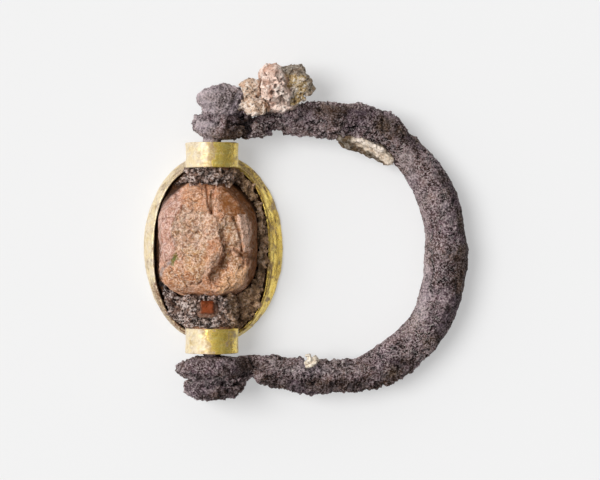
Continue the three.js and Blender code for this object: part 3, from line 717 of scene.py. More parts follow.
class Finish:
    """A material while its nodes are put together."""

    def __init__(self, name):
        self.material = bpy.data.materials.new(name)
        self.material.use_nodes = True
        self.tree = self.material.node_tree
        self.tree.nodes.clear()
        self.place = self.add("ShaderNodeTexCoord", output="Object")

    def add(self, kind, settings=None, values=None, output=0):
        """Adds a node: its settings first, then the values or links of its sockets."""
        node = self.tree.nodes.new(kind)
        for name, setting in (settings or {}).items():
            setattr(node, name, setting)
        for name, value in (values or {}).items():
            if isinstance(value, Socket):
                self.tree.links.new(value.socket, node.inputs[name])
            else:
                node.inputs[name].default_value = value
        return Socket(self, node.outputs[output])

    def mark(self, name):
        """What the shaping left at each point under this name."""
        return self.add("ShaderNodeAttribute", {"attribute_name": name}, output="Fac")

    def paint(self, name):
        """The colour that the shaping left at each point."""
        return self.add("ShaderNodeAttribute", {"attribute_name": name}, output="Color")

    def mix(self, factor, first, second):
        """A colour from first to second, each of them a socket, a setting or the name of a tint."""
        ends = [tint(end) if isinstance(end, str) else end for end in (first, second)]
        ends = [end if isinstance(end, Socket) else (*end, 1) for end in ends]
        return self.add("ShaderNodeMix", {"data_type": "RGBA"}, {0: factor, 6: ends[0], 7: ends[1]}, 2)

    def coats(self, base, *layers):
        """A base colour under coats, each given as how far it covers and its own colour."""
        for amount, coat in layers:
            base = self.mix(amount, base, coat)
        return base

    def noise(self, size, detail=2.0, stretch=(1, 1, 1), keen=0.5):
        """Noise with lumps of about this size in millimetres. Stretch makes them longer, keen rougher."""
        spread = {0: self.place, 3: tuple(1 / x for x in stretch)}
        place = self.add("ShaderNodeMapping", {}, spread)
        values = {"Vector": place, "Scale": 1 / (size * MM), "Detail": detail, "Roughness": keen}
        return self.add("ShaderNodeTexNoise", {}, values)

    def worms(self, size, detail=2.0):
        """1 along winding ridges of this size in millimetres and 0 between them."""
        away = (self.noise(size, detail) - 0.5).maths("ABSOLUTE")
        return 1 - away.between(0.0, 0.09)

    def cells(self, size):
        """Distance from the middle of scattered cells of this size in millimetres."""
        return self.add("ShaderNodeTexVoronoi", {}, {"Vector": self.place, "Scale": 1 / (size * MM)})

    def shaken(self, size, amount):
        """The place in the piece, moved this far by noise of this size."""
        values = {"Vector": self.place, "Scale": 1 / (size * MM), "Detail": 2.0}
        swirl = self.add("ShaderNodeTexNoise", {}, values, "Color")
        shift = {0: swirl, 1: (amount * MM,) * 3, 2: self.place}
        return self.add("ShaderNodeVectorMath", {"operation": "MULTIPLY_ADD"}, shift)

    def seams(self, size):
        """Distance from the seams between irregular grains of this size in millimetres."""
        values = {"Vector": self.shaken(size, size * 0.8), "Scale": 1 / (size * MM)}
        return self.add("ShaderNodeTexVoronoi", {"feature": "DISTANCE_TO_EDGE"}, values)

    def bump(self, height, depth):
        """A bump of this depth in millimetres."""
        return self.add("ShaderNodeBump", {}, {"Height": height, "Distance": depth * MM})

    def done(self, **values):
        """Ends the material in a Principled surface."""
        sockets = {name.replace("_", " "): value for name, value in values.items()}
        for name, value in sockets.items():
            if isinstance(value, tuple):
                sockets[name] = (*value, 1)
        surface = self.add("ShaderNodeBsdfPrincipled", {}, sockets)
        self.add_output(surface)
        return self.material

    def add_output(self, surface):
        """Makes this surface what the material shows."""
        output = self.tree.nodes.new("ShaderNodeOutputMaterial")
        self.tree.links.new(surface.socket, output.inputs["Surface"])


class Skin:
    """The points of a piece while it is shaped, in millimetres."""

    def __init__(self, piece):
        self.mesh = piece.data
        self.read()

    def read(self):
        """Reads where the points are and which way each one faces."""
        count = len(self.mesh.vertices)
        self.places = np.empty(count * 3)
        self.outward = np.empty(count * 3)
        self.mesh.vertices.foreach_get("co", self.places)
        self.mesh.vertices.foreach_get("normal", self.outward)
        self.places = self.places.reshape(-1, 3)
        self.outward = self.outward.reshape(-1, 3)

    @property
    def plan(self):
        """The points' places seen from above."""
        return self.places[:, :2]

    def above(self, low, high):
        """0 at points under the low height and 1 at points over the high one."""
        return rise(self.places[:, 2], low, high)

    def facing_up(self, low, high):
        """0 at points that face up less than low and 1 at those that face up more than high."""
        return rise(self.outward[:, 2], low, high)

    def lift(self, heights):
        """Moves each point out by its height."""
        self.place(self.places + self.outward * heights[:, None])

    def place(self, places):
        """Puts the points at these places."""
        self.mesh.vertices.foreach_set("co", places.ravel())
        self.mesh.update()
        self.read()

    def push(self, pushes):
        """Pulls the points near some places over, as a sculptor's grab brush does."""
        places = self.places
        for middle, reach, way in pushes:
            near = np.exp(-(((places - middle) / reach) ** 2).sum(axis=1))
            places = places + near[:, None] * np.array(way)
        self.place(places)

    def wander(self, size, start=0.0):
        """Smooth noise from about -1 to 1 with lumps of this size."""
        spots = self.places / size + start
        return np.array([noise.noise(spot) for spot in spots.tolist()]) * NOISE_GAIN

    def sway(self, size, start=31):
        """Smooth noise of this size in two directions, which warps what is seen from above."""
        return np.stack([self.wander(size, start), self.wander(size, start + 16)], axis=1)

    def waves(self, layers):
        """Layers of smooth noise, each with its height, width and start."""
        return sum(height * self.wander(width, start) for height, width, start in layers)

    def breaks(self, layers):
        """Layers of broken faces, each with its height, width and start."""
        return sum(height * self.facets(width, start) for height, width, start in layers)

    def worms(self, size, start=0.0):
        """Noise that is 1 along winding ridges of this width and 0 between them."""
        return 1 - np.clip(np.abs(self.wander(size, start)) * RIDGE_GAIN, 0, 1)

    def grains(self, size, start=0.0):
        """Rounded grains of this size: 1 at their tops and 0 in the seams between them."""
        spots = (self.places / size + start).tolist()
        near = np.array([noise.voronoi(spot)[0][:2] for spot in spots])
        return np.clip((near[:, 1] - near[:, 0]) * GRAIN_GAIN, 0, 1)

    def facets(self, size, start=0.0):
        """Broken faces of this size that tilt at random."""
        spots = self.places / size + start
        tilted = []
        for spot in spots.tolist():
            middle = noise.voronoi(spot)[1][0]
            tilt = noise.cell_vector(middle * TILT_SPREAD) - Vector((0.5, 0.5, 0.5))
            tilted.append((Vector(spot) - middle).dot(tilt))
        return np.array(tilted)

    def mark(self, **marks):
        """Leaves a value under each name at each point for the material."""
        for name, values in marks.items():
            layer = self.mesh.attributes.new(name, "FLOAT", "POINT")
            layer.data.foreach_set("value", np.asarray(values, dtype=np.float32))

    def paint(self, name, colours):
        """Leaves a colour at each point for the material."""
        layer = self.mesh.attributes.new(name, "FLOAT_COLOR", "POINT")
        full = np.concatenate([colours, np.ones((len(colours), 1))], axis=1)
        layer.data.foreach_set("color", full.ravel().astype(np.float32))


def rise(values, low, high):
    """0 below low, 1 above high and a smooth rise from one to the other."""
    t = np.clip((values - low) / (high - low), 0, 1)
    return t * t * (3 - 2 * t)


def blend(first, second, amount):
    """Colours from first to second by an amount for each point."""
    amount = np.clip(amount, 0, 1)[:, None]
    return first * (1 - amount) + np.array(second) * amount


def away_from(spots, line, closed=False):
    """How far each place, seen from above, is from a line."""
    ends = line[1:] + (line[:1] if closed else ())
    nearest = np.full(len(spots), np.inf)
    for start, end in zip(line, ends):
        start, run = np.array(start), np.array(end) - np.array(start)
        along = np.clip(((spots - start) @ run) / (run @ run), 0, 1)
        nearest = np.minimum(nearest, np.hypot(*(spots - start - along[:, None] * run).T))
    return nearest


def inside(spots, outline, soft):
    """1 inside an outline seen from above and 0 outside it, over a soft edge."""
    crossings = np.zeros(len(spots), dtype=int)
    for (x0, y0), (x1, y1) in zip(outline, outline[1:] + outline[:1]):
        spans = (y0 > spots[:, 1]) != (y1 > spots[:, 1])
        crossing = x0 + (spots[:, 1] - y0) * (x1 - x0) / (y1 - y0 if y1 != y0 else 1)
        crossings += spans & (spots[:, 0] < crossing)
    deep = away_from(spots, outline, closed=True) * np.where(crossings % 2, 1, -1)
    return rise(deep, -soft, soft)


def covered(values, spots, places, soft):
    """Values raised inside each outlined place to how far it is covered."""
    for outline, cover in places:
        values = np.maximum(values, cover * inside(spots, outline, soft))
    return values


def settings():
    """The ring's settings in this scene."""
    scene = bpy.context.scene
    return scene.ring_silver, scene.ring_gold, scene.ring_stone, scene.ring_soil, scene.ring_stage


def cad_copy(node):
    """A merged copy of a CAD node in a bmesh, in millimetres."""
    shape = bmesh.new()
    shape.from_mesh(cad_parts[node].data)
    bmesh.ops.remove_doubles(shape, verts=shape.verts, dist=MERGED_CAD * MM)
    bmesh.ops.scale(shape, vec=(1 / MM,) * 3, verts=shape.verts)
    return shape


def new_piece(name, shape):
    """A piece of the ring from a bmesh."""
    mesh = bpy.data.meshes.new(name)
    shape.to_mesh(mesh)
    shape.free()
    piece = bpy.data.objects.new(name, mesh)
    bpy.context.scene.collection.objects.link(piece)
    return piece


def settle(piece, kind, **options):
    """Applies one modifier to a piece."""
    modifier = piece.modifiers.new(kind.lower(), kind)
    for name, option in options.items():
        setattr(modifier, name, option)
    shaped = bpy.data.meshes.new_from_object(piece.evaluated_get(bpy.context.evaluated_depsgraph_get()))
    piece.modifiers.clear()
    rough, piece.data = piece.data, shaped
    bpy.data.meshes.remove(rough)


def fuse(name, shape, skin):
    """Grows one even skin over all the lumps in a bmesh."""
    piece = new_piece(name, shape)
    settle(piece, "REMESH", mode="VOXEL", voxel_size=skin / MM)
    return piece


def hand_over(piece, material, body, slot, *nodes):
    """Turns a shaped piece to metres and puts it on its body in place of its CAD nodes."""
    piece.data.transform(Matrix.Scale(MM, 4))
    piece.data.materials.append(material)
    piece.data.shade_smooth()
    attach(piece, body)
    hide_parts(*nodes)


def add_lumps(shape, lumps):
    """Adds rounded lumps to a bmesh."""
    for at, half, turn in lumps:
        place = Matrix.Translation(at) @ Matrix.Rotation(turn, 4, "Z") @ Matrix.Diagonal((*half, 1))
        bmesh.ops.create_icosphere(shape, subdivisions=3, radius=1, matrix=place)
    return shape


def add_blocks(shape, blocks):
    """Adds turned blocks to a bmesh."""
    for at, half, turns in blocks:
        place = Matrix.Translation(at) @ Euler(turns).to_matrix().to_4x4() @ Matrix.Diagonal((*half, 1))
        bmesh.ops.create_cube(shape, size=2, matrix=place)
    return shape


def hew(shape, outline):
    """Breaks a lump down to an outline, with sides that lean in less and more by turns."""
    centre = sum((Vector((*corner, 0)) for corner in outline), Vector()) / len(outline)
    for i, (start, end) in enumerate(zip(outline, outline[1:] + outline[:1])):
        run = Vector((*end, 0)) - Vector((*start, 0))
        outward = Vector((-run.y, run.x, 0)).normalized()
        if outward.dot(Vector((*start, 0)) - centre) < 0:
            outward.negate()
        outward.z = CRAG_LEAN * (1.0 if i % 2 else CRAG_STEEPER)
        cut(shape, (*start, CRAG_MIDDLE), outward)
    return shape


def cut(shape, at, outward):
    """Takes off what lies beyond a plane and closes the break."""
    bmesh.ops.bisect_plane(
        shape,
        geom=shape.verts[:] + shape.edges[:] + shape.faces[:],
        plane_co=at,
        plane_no=outward,
        clear_outer=True,
    )
    bmesh.ops.holes_fill(shape, edges=[edge for edge in shape.edges if edge.is_boundary], sides=0)


def crust_relief(skin, grain, smooth):
    """The silver crust's ridges and pits, from 0 at the bottom of a pit to 1 on a ridge."""
    ridges = 0.5 * skin.worms(grain * 2.0) + 0.5 * skin.worms(grain * 1.1, 9)
    mixed = np.clip(0.6 * ridges + 0.5 * skin.grains(grain * 1.3, 3) - 0.05, 0, 1)
    holes = rise(skin.wander(grain * 1.4, 21) + 0.4 * skin.wander(grain * 0.6, 25), 0.25, 0.7)
    rough = mixed * (1 - 0.95 * holes)
    return rough * (1 - smooth) + smooth * (0.62 + 0.3 * (mixed - 0.5))


def crust_silver(piece, swell, held, patches, cracks, earths=()):
    """Roughens a piece of corroded silver and marks its ridges, shade and soil."""
    silver = settings()[0]
    skin = Skin(piece)
    spots = skin.plan
    smooth = 0.8 * rise(skin.wander(1.9, 5), 0.05, 0.6)
    shade = skin.waves(SILVER_SHADES)
    warped = spots + 0.35 * skin.sway(1.2)
    # The patches paint the crust paler or darker, partly as its own tone and partly as painted light and
    # painted shade
    for outline, evenness, darkness in patches:
        amount = inside(warped, outline, 0.5)
        smooth = np.maximum(smooth, evenness * amount)
        shade = shade + darkness * amount
    relief = crust_relief(skin, silver.grain / MM, smooth)
    sunk = np.zeros(len(spots))
    for line, wide, deep in cracks:
        amount = 1 - rise(away_from(spots + 0.3 * (warped - spots), line), 0.3 * wide, 1.4 * wide)
        amount = amount * skin.facing_up(-0.2, 0.4)
        sunk = np.maximum(sunk, deep * amount)
        relief = relief * (1 - amount)
        smooth = smooth * (1 - amount)
    lumps = swell + skin.waves(SILVER_WAVES) + skin.breaks(SILVER_BREAKS)
    pits = rise(skin.wander(0.62, 63), 0.52, 0.72) * (1 - 0.8 * smooth)
    sunk = np.maximum(sunk, 0.3 * pits)
    relief = relief * (1 - pits)
    heights = np.minimum(relief - 0.75, 0.05) * silver.relief / MM + lumps * (1 - 0.5 * smooth) - sunk
    skin.lift(heights * held(skin.places))
    earth = 0.4 * rise(skin.wander(1.9, 90) + 0.4 * skin.wander(0.5, 97), 0.3, 0.9)
    skin.mark(relief=relief, smooth=smooth, shade=shade, earth=covered(earth, warped, earths, 0.2))
    skin.place(np.maximum(skin.places, [-np.inf, -np.inf, 0]))


def silver_finish():
    """Granular grey purple corrosion with soil; its pale ridges and glints are painted highlights and its
    black pits painted shade.
    """
    silver = settings()[0]
    finish = Finish("Corroded silver")
    relief, smooth, shade, earth = (finish.mark(name) for name in ("relief", "smooth", "shade", "earth"))
    crumbs = finish.noise(0.18, 3.0, keen=0.75)
    broad = finish.noise(0.8, 3.0)
    hue = finish.noise(2.4, 3.0)
    glint = finish.noise(0.16, 1.0).between(0.65, 0.69)
    rough = 1 - smooth * 0.7
    outer = shade.between(0, 1)
    top = crumbs.between(0.5, 0.58) * (1 - outer * 0.65)
    tone = finish.coats(
        silver.body,
        # Darker on the outer side and paler in pale places: partly the crust's own tone, partly painted shade
        # and painted light
        (outer, silver.dark),
        ((0 - shade).between(0.1, 1.0), silver.pale),
        (hue.between(0.5, 0.62) * 0.4, "rust"),
        ((1 - hue).between(0.5, 0.62) * 0.4, "violet"),
        (earth * crumbs.between(0.4, 0.6), silver.earth),
        # Painted shade: darker where the bump is low, and near black in the pits
        ((1 - broad).between(0.5, 0.58) * (0.2 + rough * 0.45), silver.dark),
        ((1 - relief.between(0.0, 0.26)) * (0.25 + rough * 0.65), silver.pit_shade),
        ((1 - crumbs.between(0.38, 0.5)) * (0.4 + rough * 0.55), silver.pit_shade),
        # Painted highlights: pale tops where the bump is high, and glints
        (top * (0.6 + relief * 0.4), silver.ridge_highlight),
        (broad.between(0.54, 0.66) * (1 - outer * 0.6) * 0.28, silver.ridge_highlight),
        (glint * (0.3 + rough * 0.5) * (1 - outer * 0.8), "glint"),
    )
    height = crumbs * 1.2 + relief * 0.6 + broad * 0.9
    return finish.done(
        Base_Color=tone,
        Roughness=0.7 - top * 0.2,
        Specular_IOR_Level=0.18,
        Normal=finish.bump(height * (0.45 + rough * 0.55), 0.55),
    )


def spin_section(section, axis, centre, steps):
    """A closed section of (radius, height) points spun round an axis, in a bmesh."""
    shape = bmesh.new()
    points = [shape.verts.new(point) for point in section]
    edges = [shape.edges.new(pair) for pair in zip(points, points[1:] + points[:1])]
    bmesh.ops.spin(
        shape, geom=points + edges, cent=centre, axis=axis, angle=2 * np.pi, steps=steps, use_merge=True
    )
    bmesh.ops.remove_doubles(shape, verts=shape.verts, dist=MERGED_SPIN)
    bmesh.ops.recalc_face_normals(shape, faces=shape.faces)
    return shape


def powered(value, power):
    """A power that keeps the sign of the value it is given."""
    return np.sign(value) * np.abs(value) ** power


def beaten_sheet(piece, depth, stains=(), groove_shade=()):
    """Dents sheet gold, and marks its film of lime, which is partly painted light on the left side, and its
    stains.
    """
    skin = Skin(piece)
    skin.lift(depth * skin.waves(SHEET_DENTS))
    heights = skin.places[:, 2]
    # The film is thickest on the left side, which faces the light, and along the left lip: partly real lime,
    # partly painted light, with a painted highlight along that lip
    left = rise(-skin.places[:, 0], -1.5, 2.4)
    lip = skin.above(*LIP_FROM) * rise(LIP_TO - heights, 0, LIP_FADE)
    film = left * 0.95 + skin.waves(SHEET_FILM) - 0.05 + 0.6 * lip * left
    stain = 0.6 * rise(skin.wander(1.3, 50) + 0.5 * skin.wander(0.35, 55), 0.25, 1.1)
    stain = covered(stain, skin.plan + 0.2 * skin.sway(0.6), stains, 0.3)
    # Dark lines of painted groove shade along the wall, shown on the right side only
    for height, dark in groove_shade:
        away = np.abs(heights - height - 0.07 * skin.wander(1.6, 62)) / 0.09
        shown = rise(skin.wander(1.1, 66), -0.5, 0.3) * (1 - left)
        stain = np.maximum(stain, dark * np.exp(-away**2) * shown)
    # Darker along the lip on the right side
    worn = 0.75 * lip * (1 - left) * rise(skin.wander(0.5, 58), -0.6, 0.2)
    skin.mark(film=np.clip(film + 0.12, 0, 1), stain=np.maximum(stain, worn))


def gold_finish(along, worn):
    """Sheet gold with streaks along the way it was beaten, specks of soil and a thin pale film."""
    gold = settings()[1]
    finish = Finish("Sheet gold")
    film, stain = finish.mark("film"), finish.mark("stain")
    fine = finish.noise(0.17, 2.0, keen=0.7)
    coarse = finish.noise(0.5, 3.0).between(0.38, 0.62)
    streaks = finish.noise(0.3, 3.0, along, keen=0.7)
    mottle = finish.noise(0.18, 3.0, keen=0.75)
    patchy = finish.noise(0.9, 2.0).between(0.42, 0.58)
    creases = 1 - finish.seams(1.6).between(0.006, 0.03)
    specks = finish.noise(0.2, 2.0, along, keen=0.6).between(0.58, 0.63)
    dots = 1 - finish.cells(0.7).between(0.05, 0.09)
    cover = film.between(0.05, 0.4) * (0.7 + coarse * 0.2)
    soiled = specks * patchy * (0.15 + (1 - cover) * 0.5) + dots * patchy * 0.8
    dirty = (soiled + stain * (0.35 + fine.between(0.42, 0.56) * 0.65)) * worn
    # Pale where the film is thick, as lime and as painted light; tan where it is thin, partly painted shade
    coat = finish.coats(
        "thin film",
        (film.between(0.35, 0.95), gold.film),
        (mottle.between(0.5, 0.62) * 0.16, "film soil"),
        ((1 - mottle).between(0.5, 0.62) * 0.25, "film bloom"),
    )
    shade = finish.coats(
        gold.metal,
        (streaks.between(0.52, 0.62) * (0.25 * worn), "old gold"),
        ((1 - streaks).between(0.5, 0.6) * 0.3, "gleam"),
        (mottle.between(0.56, 0.62) * (0.35 * worn), "bronze"),
        ((1 - mottle).between(0.52, 0.6) * 0.3, "gilt"),
        (cover, coat),
        (creases * coarse * (0.4 * worn), gold.stain),
        (dirty, gold.stain),
    )
    height = streaks * 0.5 + (fine - dirty - creases - mottle) * (0.5 * worn) + coarse * 0.2
    return finish.done(
        Base_Color=shade,
        Metallic=(0.6 + 0.3 * worn - cover * 0.66) * (1 - dirty * 0.5),
        Roughness=gold.roughness + cover * 0.25 + dirty * 0.25,
        Normal=finish.bump(height, 0.04),
    )


class RING_OT_hoop(bpy.types.Operator):
    """Makes the crusted silver hoop with its two eyes"""

    bl_idname = "ring.hoop"
    bl_label = "Silver hoop"

    def execute(self, context):
        piece = fuse("crusted_hoop", add_lumps(cad_copy("silver_hoop"), HOOP_LUMPS), settings()[0].skin)
        Skin(piece).push(HOOP_PUSHES)

        def held(places):
            along = np.abs(places[:, 1])
            across = np.hypot(places[:, 0], places[:, 2] - PIVOT_HEIGHT)
            beside = np.where(along < COLLAR_FACE + EYE_MARGIN, EYE_HELD, 1.0)
            return beside * np.where(along < EYE_END, rise(across, *EYE_BORE), 1.0)

        crust_silver(piece, HOOP_SWELL, held, HOOP_PATCHES, HOOP_CRACKS, HOOP_EARTH)
        hand_over(piece, silver_finish(), "hoop", "corroded_silver", "silver_hoop")
        return {"FINISHED"}


class RING_OT_wire(bpy.types.Operator):
    """Makes the pivot wire with its beaten heads"""

    bl_idname = "ring.wire"
    bl_label = "Pivot wire"

    def execute(self, context):
        shape = add_lumps(cad_copy("pivot_wire"), WIRE_LUMPS)
        piece = fuse("crusted_wire", shape, settings()[0].skin * WIRE_FINENESS)
        Skin(piece).push(WIRE_PUSHES)

        def held(places):
            return rise(np.abs(places[:, 1]), *WIRE_CRUST)

        crust_silver(piece, WIRE_SWELL, held, WIRE_PATCHES, WIRE_CRACKS)
        hand_over(piece, silver_finish(), "hoop", "corroded_silver", "pivot_wire")
        return {"FINISHED"}


class RING_OT_rim(bpy.types.Operator):
    """Makes the gold rim: a strip bent round the stone, with a turned lip"""

    bl_idname = "ring.rim"
    bl_label = "Gold rim"

    def execute(self, context):
        start = RIM_HIGH.x
        section = [(start - inset, 0, height) for inset, height in RIM_SECTION]
        shape = spin_section(section, (0, 0, 1), (0, 0, 0), RIM_STEPS)
        for point in shape.verts:
            x, y, height = point.co
            turn = np.arctan2(y, x)
            inset = start - np.hypot(x, y)
            lean = min(max((height - RIM_EDGE) / (RIM_HIGH.z - RIM_EDGE), 0), 1)
            power = 2 / (2 + (LIP_SQUARENESS - 2) * lean)
            across = RIM_HIGH.x - lean * RIM_LEAN - inset
            along = RIM_HIGH.y - lean * RIM_END_LEAN - inset
            point.co = (
                across * powered(np.cos(turn), power) + lean * LIP_OPENING * min(np.cos(turn), 0) ** 3,
                along * powered(np.sin(turn), power) - lean * LIP_SHIFT,
                height,
            )
        piece = new_piece("beaten_rim", shape)
        settle(piece, "SUBSURF", levels=2, render_levels=2)
        beaten_sheet(piece, settings()[1].dent / MM, RIM_STAINS, RIM_GROOVE_SHADE)
        hand_over(piece, gold_finish((6, 6, 1), 1.0), "bezel", "sheet_gold", "gold_rim")
        return {"FINISHED"}


class RING_OT_collars(bpy.types.Operator):
    """Makes the gold collars and the pierced discs let into their outer ends"""

    bl_idname = "ring.collars"
    bl_label = "Gold collars"

    def tube(self, name, section, side):
        """A dented tube round the swivel axis at one end of the bore."""
        centre = Vector((0, 0, PIVOT_HEIGHT))
        points = [(radius, side * along, PIVOT_HEIGHT) for radius, along in section]
        shape = spin_section(points, (0, 1, 0), centre, COLLAR_STEPS)
        sharp = [edge for edge in shape.edges if edge.calc_face_angle(0) > SHARP_ANGLE]
        bmesh.ops.bevel(
            shape, geom=sharp, offset=COLLAR_BEVEL, segments=2, profile=0.5, affect="EDGES", material=-1
        )
        piece = new_piece(name, shape)
        settle(piece, "SUBSURF", levels=2, render_levels=2)
        beaten_sheet(piece, settings()[1].dent / MM * COLLAR_DENTS)
        return piece

    def execute(self, context):
        tube = [(COLLAR_RADIUS * wide, COLLAR_FACE - along) for wide, along in COLLAR_SECTION]
        reach, deep, face = DISC_HIGH.x + DISC_LAP, DISC_LOW.y, DISC_HIGH.y
        disc = ((DISC_BORE, deep), (reach, deep), (reach, face), (DISC_BORE, face))
        for end, side in (("upper", 1), ("lower", -1)):
            collar = self.tube(f"{end}_collar_tube", tube, side)
            hand_over(collar, gold_finish((5, 1, 5), 0.45), "bezel", "sheet_gold", f"{end}_collar")
            plate = self.tube(f"{end}_pierced_disc", disc, side)
            hand_over(plate, gold_finish((2, 1, 2), 0.6), "bezel", "sheet_gold", f"{end}_collar_disc")
        return {"FINISHED"}


class RING_OT_stone(bpy.types.Operator):
    """Carves the scarab: its back, head and plinth"""

    bl_idname = "ring.stone"
    bl_label = "Carved stone"

    def execute(self, context):
        stone = settings()[2]
        piece = fuse("carved_scarab", cad_copy("scarab_stone"), stone.skin)
        skin = Skin(piece)
        skin.push(STONE_PUSHES)
        worn = skin.above(*STONE_WORN) * skin.facing_up(-0.1, 0.3)
        seen = skin.above(*STONE_SHOWN)
        warp, ragged = skin.sway(0.7), skin.sway(0.28, 33)
        spots = skin.plan + 0.18 * warp + 0.09 * ragged
        lines = skin.plan + 0.05 * warp + 0.03 * ragged
        shade = np.tile(np.array(stone.body), (len(spots), 1))
        shade = blend(shade, tint("amber"), 0.6 * rise(skin.wander(0.9, 81), 0.2, 0.7))
        shade = blend(shade, tint("rose"), 0.6 * rise(skin.wander(1.0, 85), 0.15, 0.7))
        drop = np.zeros(len(spots))
        broken = 0.25 * rise(skin.wander(1.2, 70), 0.0, 0.8)
        for outline, soft, sunk, rough, pigment, cover in BACK_PATCHES:
            # The polished square on the head keeps its straight edges
            amount = inside(lines if pigment == "brick" else spots, outline, soft)
            shade = blend(shade, tint(pigment), cover * amount * seen)
            amount = amount * worn
            drop += sunk * amount
            broken = broken * (1 - amount) + rough * amount
        for line, wide, deep, pigment, cover in BACK_CUTS:
            amount = (1 - rise(away_from(lines, line), 0.3 * wide, 1.3 * wide)) * worn
            drop += deep * amount
            shade = blend(shade, tint(pigment), cover * amount)
        for pigment, size, start in STONE_FLECKS:
            amount = rise(skin.wander(size, start) + 0.4 * skin.wander(size / 3, start), 0.3, 0.6)
            shade = blend(shade, tint(pigment), 0.5 * broken * amount)
        # The flank is painted near black as shade between those heights, where it meets the crust
        flank_shade = skin.above(*FLANK_FROM) * (1 - skin.above(*FLANK_TO))
        shade = blend(shade, tint("gap shade"), 0.95 * flank_shade)
        # Fine cracks where the back is broken, darkened with loam that is partly painted shade
        cracks = rise(skin.worms(0.8, 37), 0.85, 1.0) * rise(skin.wander(0.9, 39), 0.0, 0.5)
        shade = blend(shade, tint("loam and shade"), 0.3 * broken * cracks)
        drop += 0.06 * broken * cracks
        chips = skin.breaks(STONE_BREAKS) + 0.1 * skin.wander(0.5, 3)
        heights = (broken * chips + skin.waves(STONE_WAVES)) * skin.above(*STONE_FOOT)
        places = skin.places + skin.outward * heights[:, None]
        places[:, 2] -= drop
        places[:, 2] -= BACK_FLATTENING * np.maximum(places[:, 2] - BACK_BROW, 0)
        skin.place(places)
        skin.paint("pigment", shade)
        skin.mark(broken=broken, pale=rise(shade.mean(axis=1), 0.06, 0.3))
        hand_over(piece, self.finish(stone), "bezel", "carved_stone", "scarab_stone")
        return {"FINISHED"}

    def finish(self, stone):
        """Dull reddish stone with veins, dark specks and paler grains where it is broken, with painted shade
        where its bump is low and small painted highlights where it is high.
        """
        finish = Finish("Carved stone")
        broken, pale = finish.mark("broken"), finish.mark("pale")
        fine = finish.noise(0.22, 2.0)
        broad = finish.noise(0.5, 4.0)
        veins = finish.worms(1.1, 4.0)
        crumbs = finish.noise(0.18, 2.0, keen=0.7)
        cracks = 1 - finish.seams(2.2).between(0.006, 0.022)
        dots = 1 - finish.cells(0.5).between(0.12, 0.18)
        spots = 1 - finish.cells(0.6).between(0.07, 0.16)
        shade = finish.coats(
            finish.paint("pigment"),
            (broad.between(0.5, 0.62) * pale * 0.5, "russet"),
            ((1 - broad).between(0.52, 0.64) * pale * 0.3, "pearl"),
            (fine.between(0.54, 0.68) * (0.12 + broken * 0.3) * pale, "cream"),
            ((1 - fine).between(0.58, 0.7) * (0.3 + broken * 0.2), "sepia"),
            (veins * pale * 0.2, "vein"),
            # Painted shade where the bump is low and painted highlights where it is high
            ((1 - crumbs).between(0.52, 0.58) * (0.36 + broken * 0.16), "hollow"),
            (crumbs.between(0.52, 0.6) * pale * (0.28 + broken * 0.34), "crumb"),
            (cracks * broad.between(0.48, 0.58) * 0.45, "crack"),
            (dots * broad.between(0.4, 0.55) * 0.6, "speck"),
            (spots * broken * 0.7, "honey"),
        )
        return finish.done(
            Base_Color=shade,
            Roughness=stone.roughness + broken * 0.25 + (fine - 0.5) * 0.2,
            Specular_IOR_Level=0.06,
            Normal=finish.bump(crumbs * (0.35 + broken * 0.5) + broad * 0.6 - cracks * 0.3, 0.22),
        )


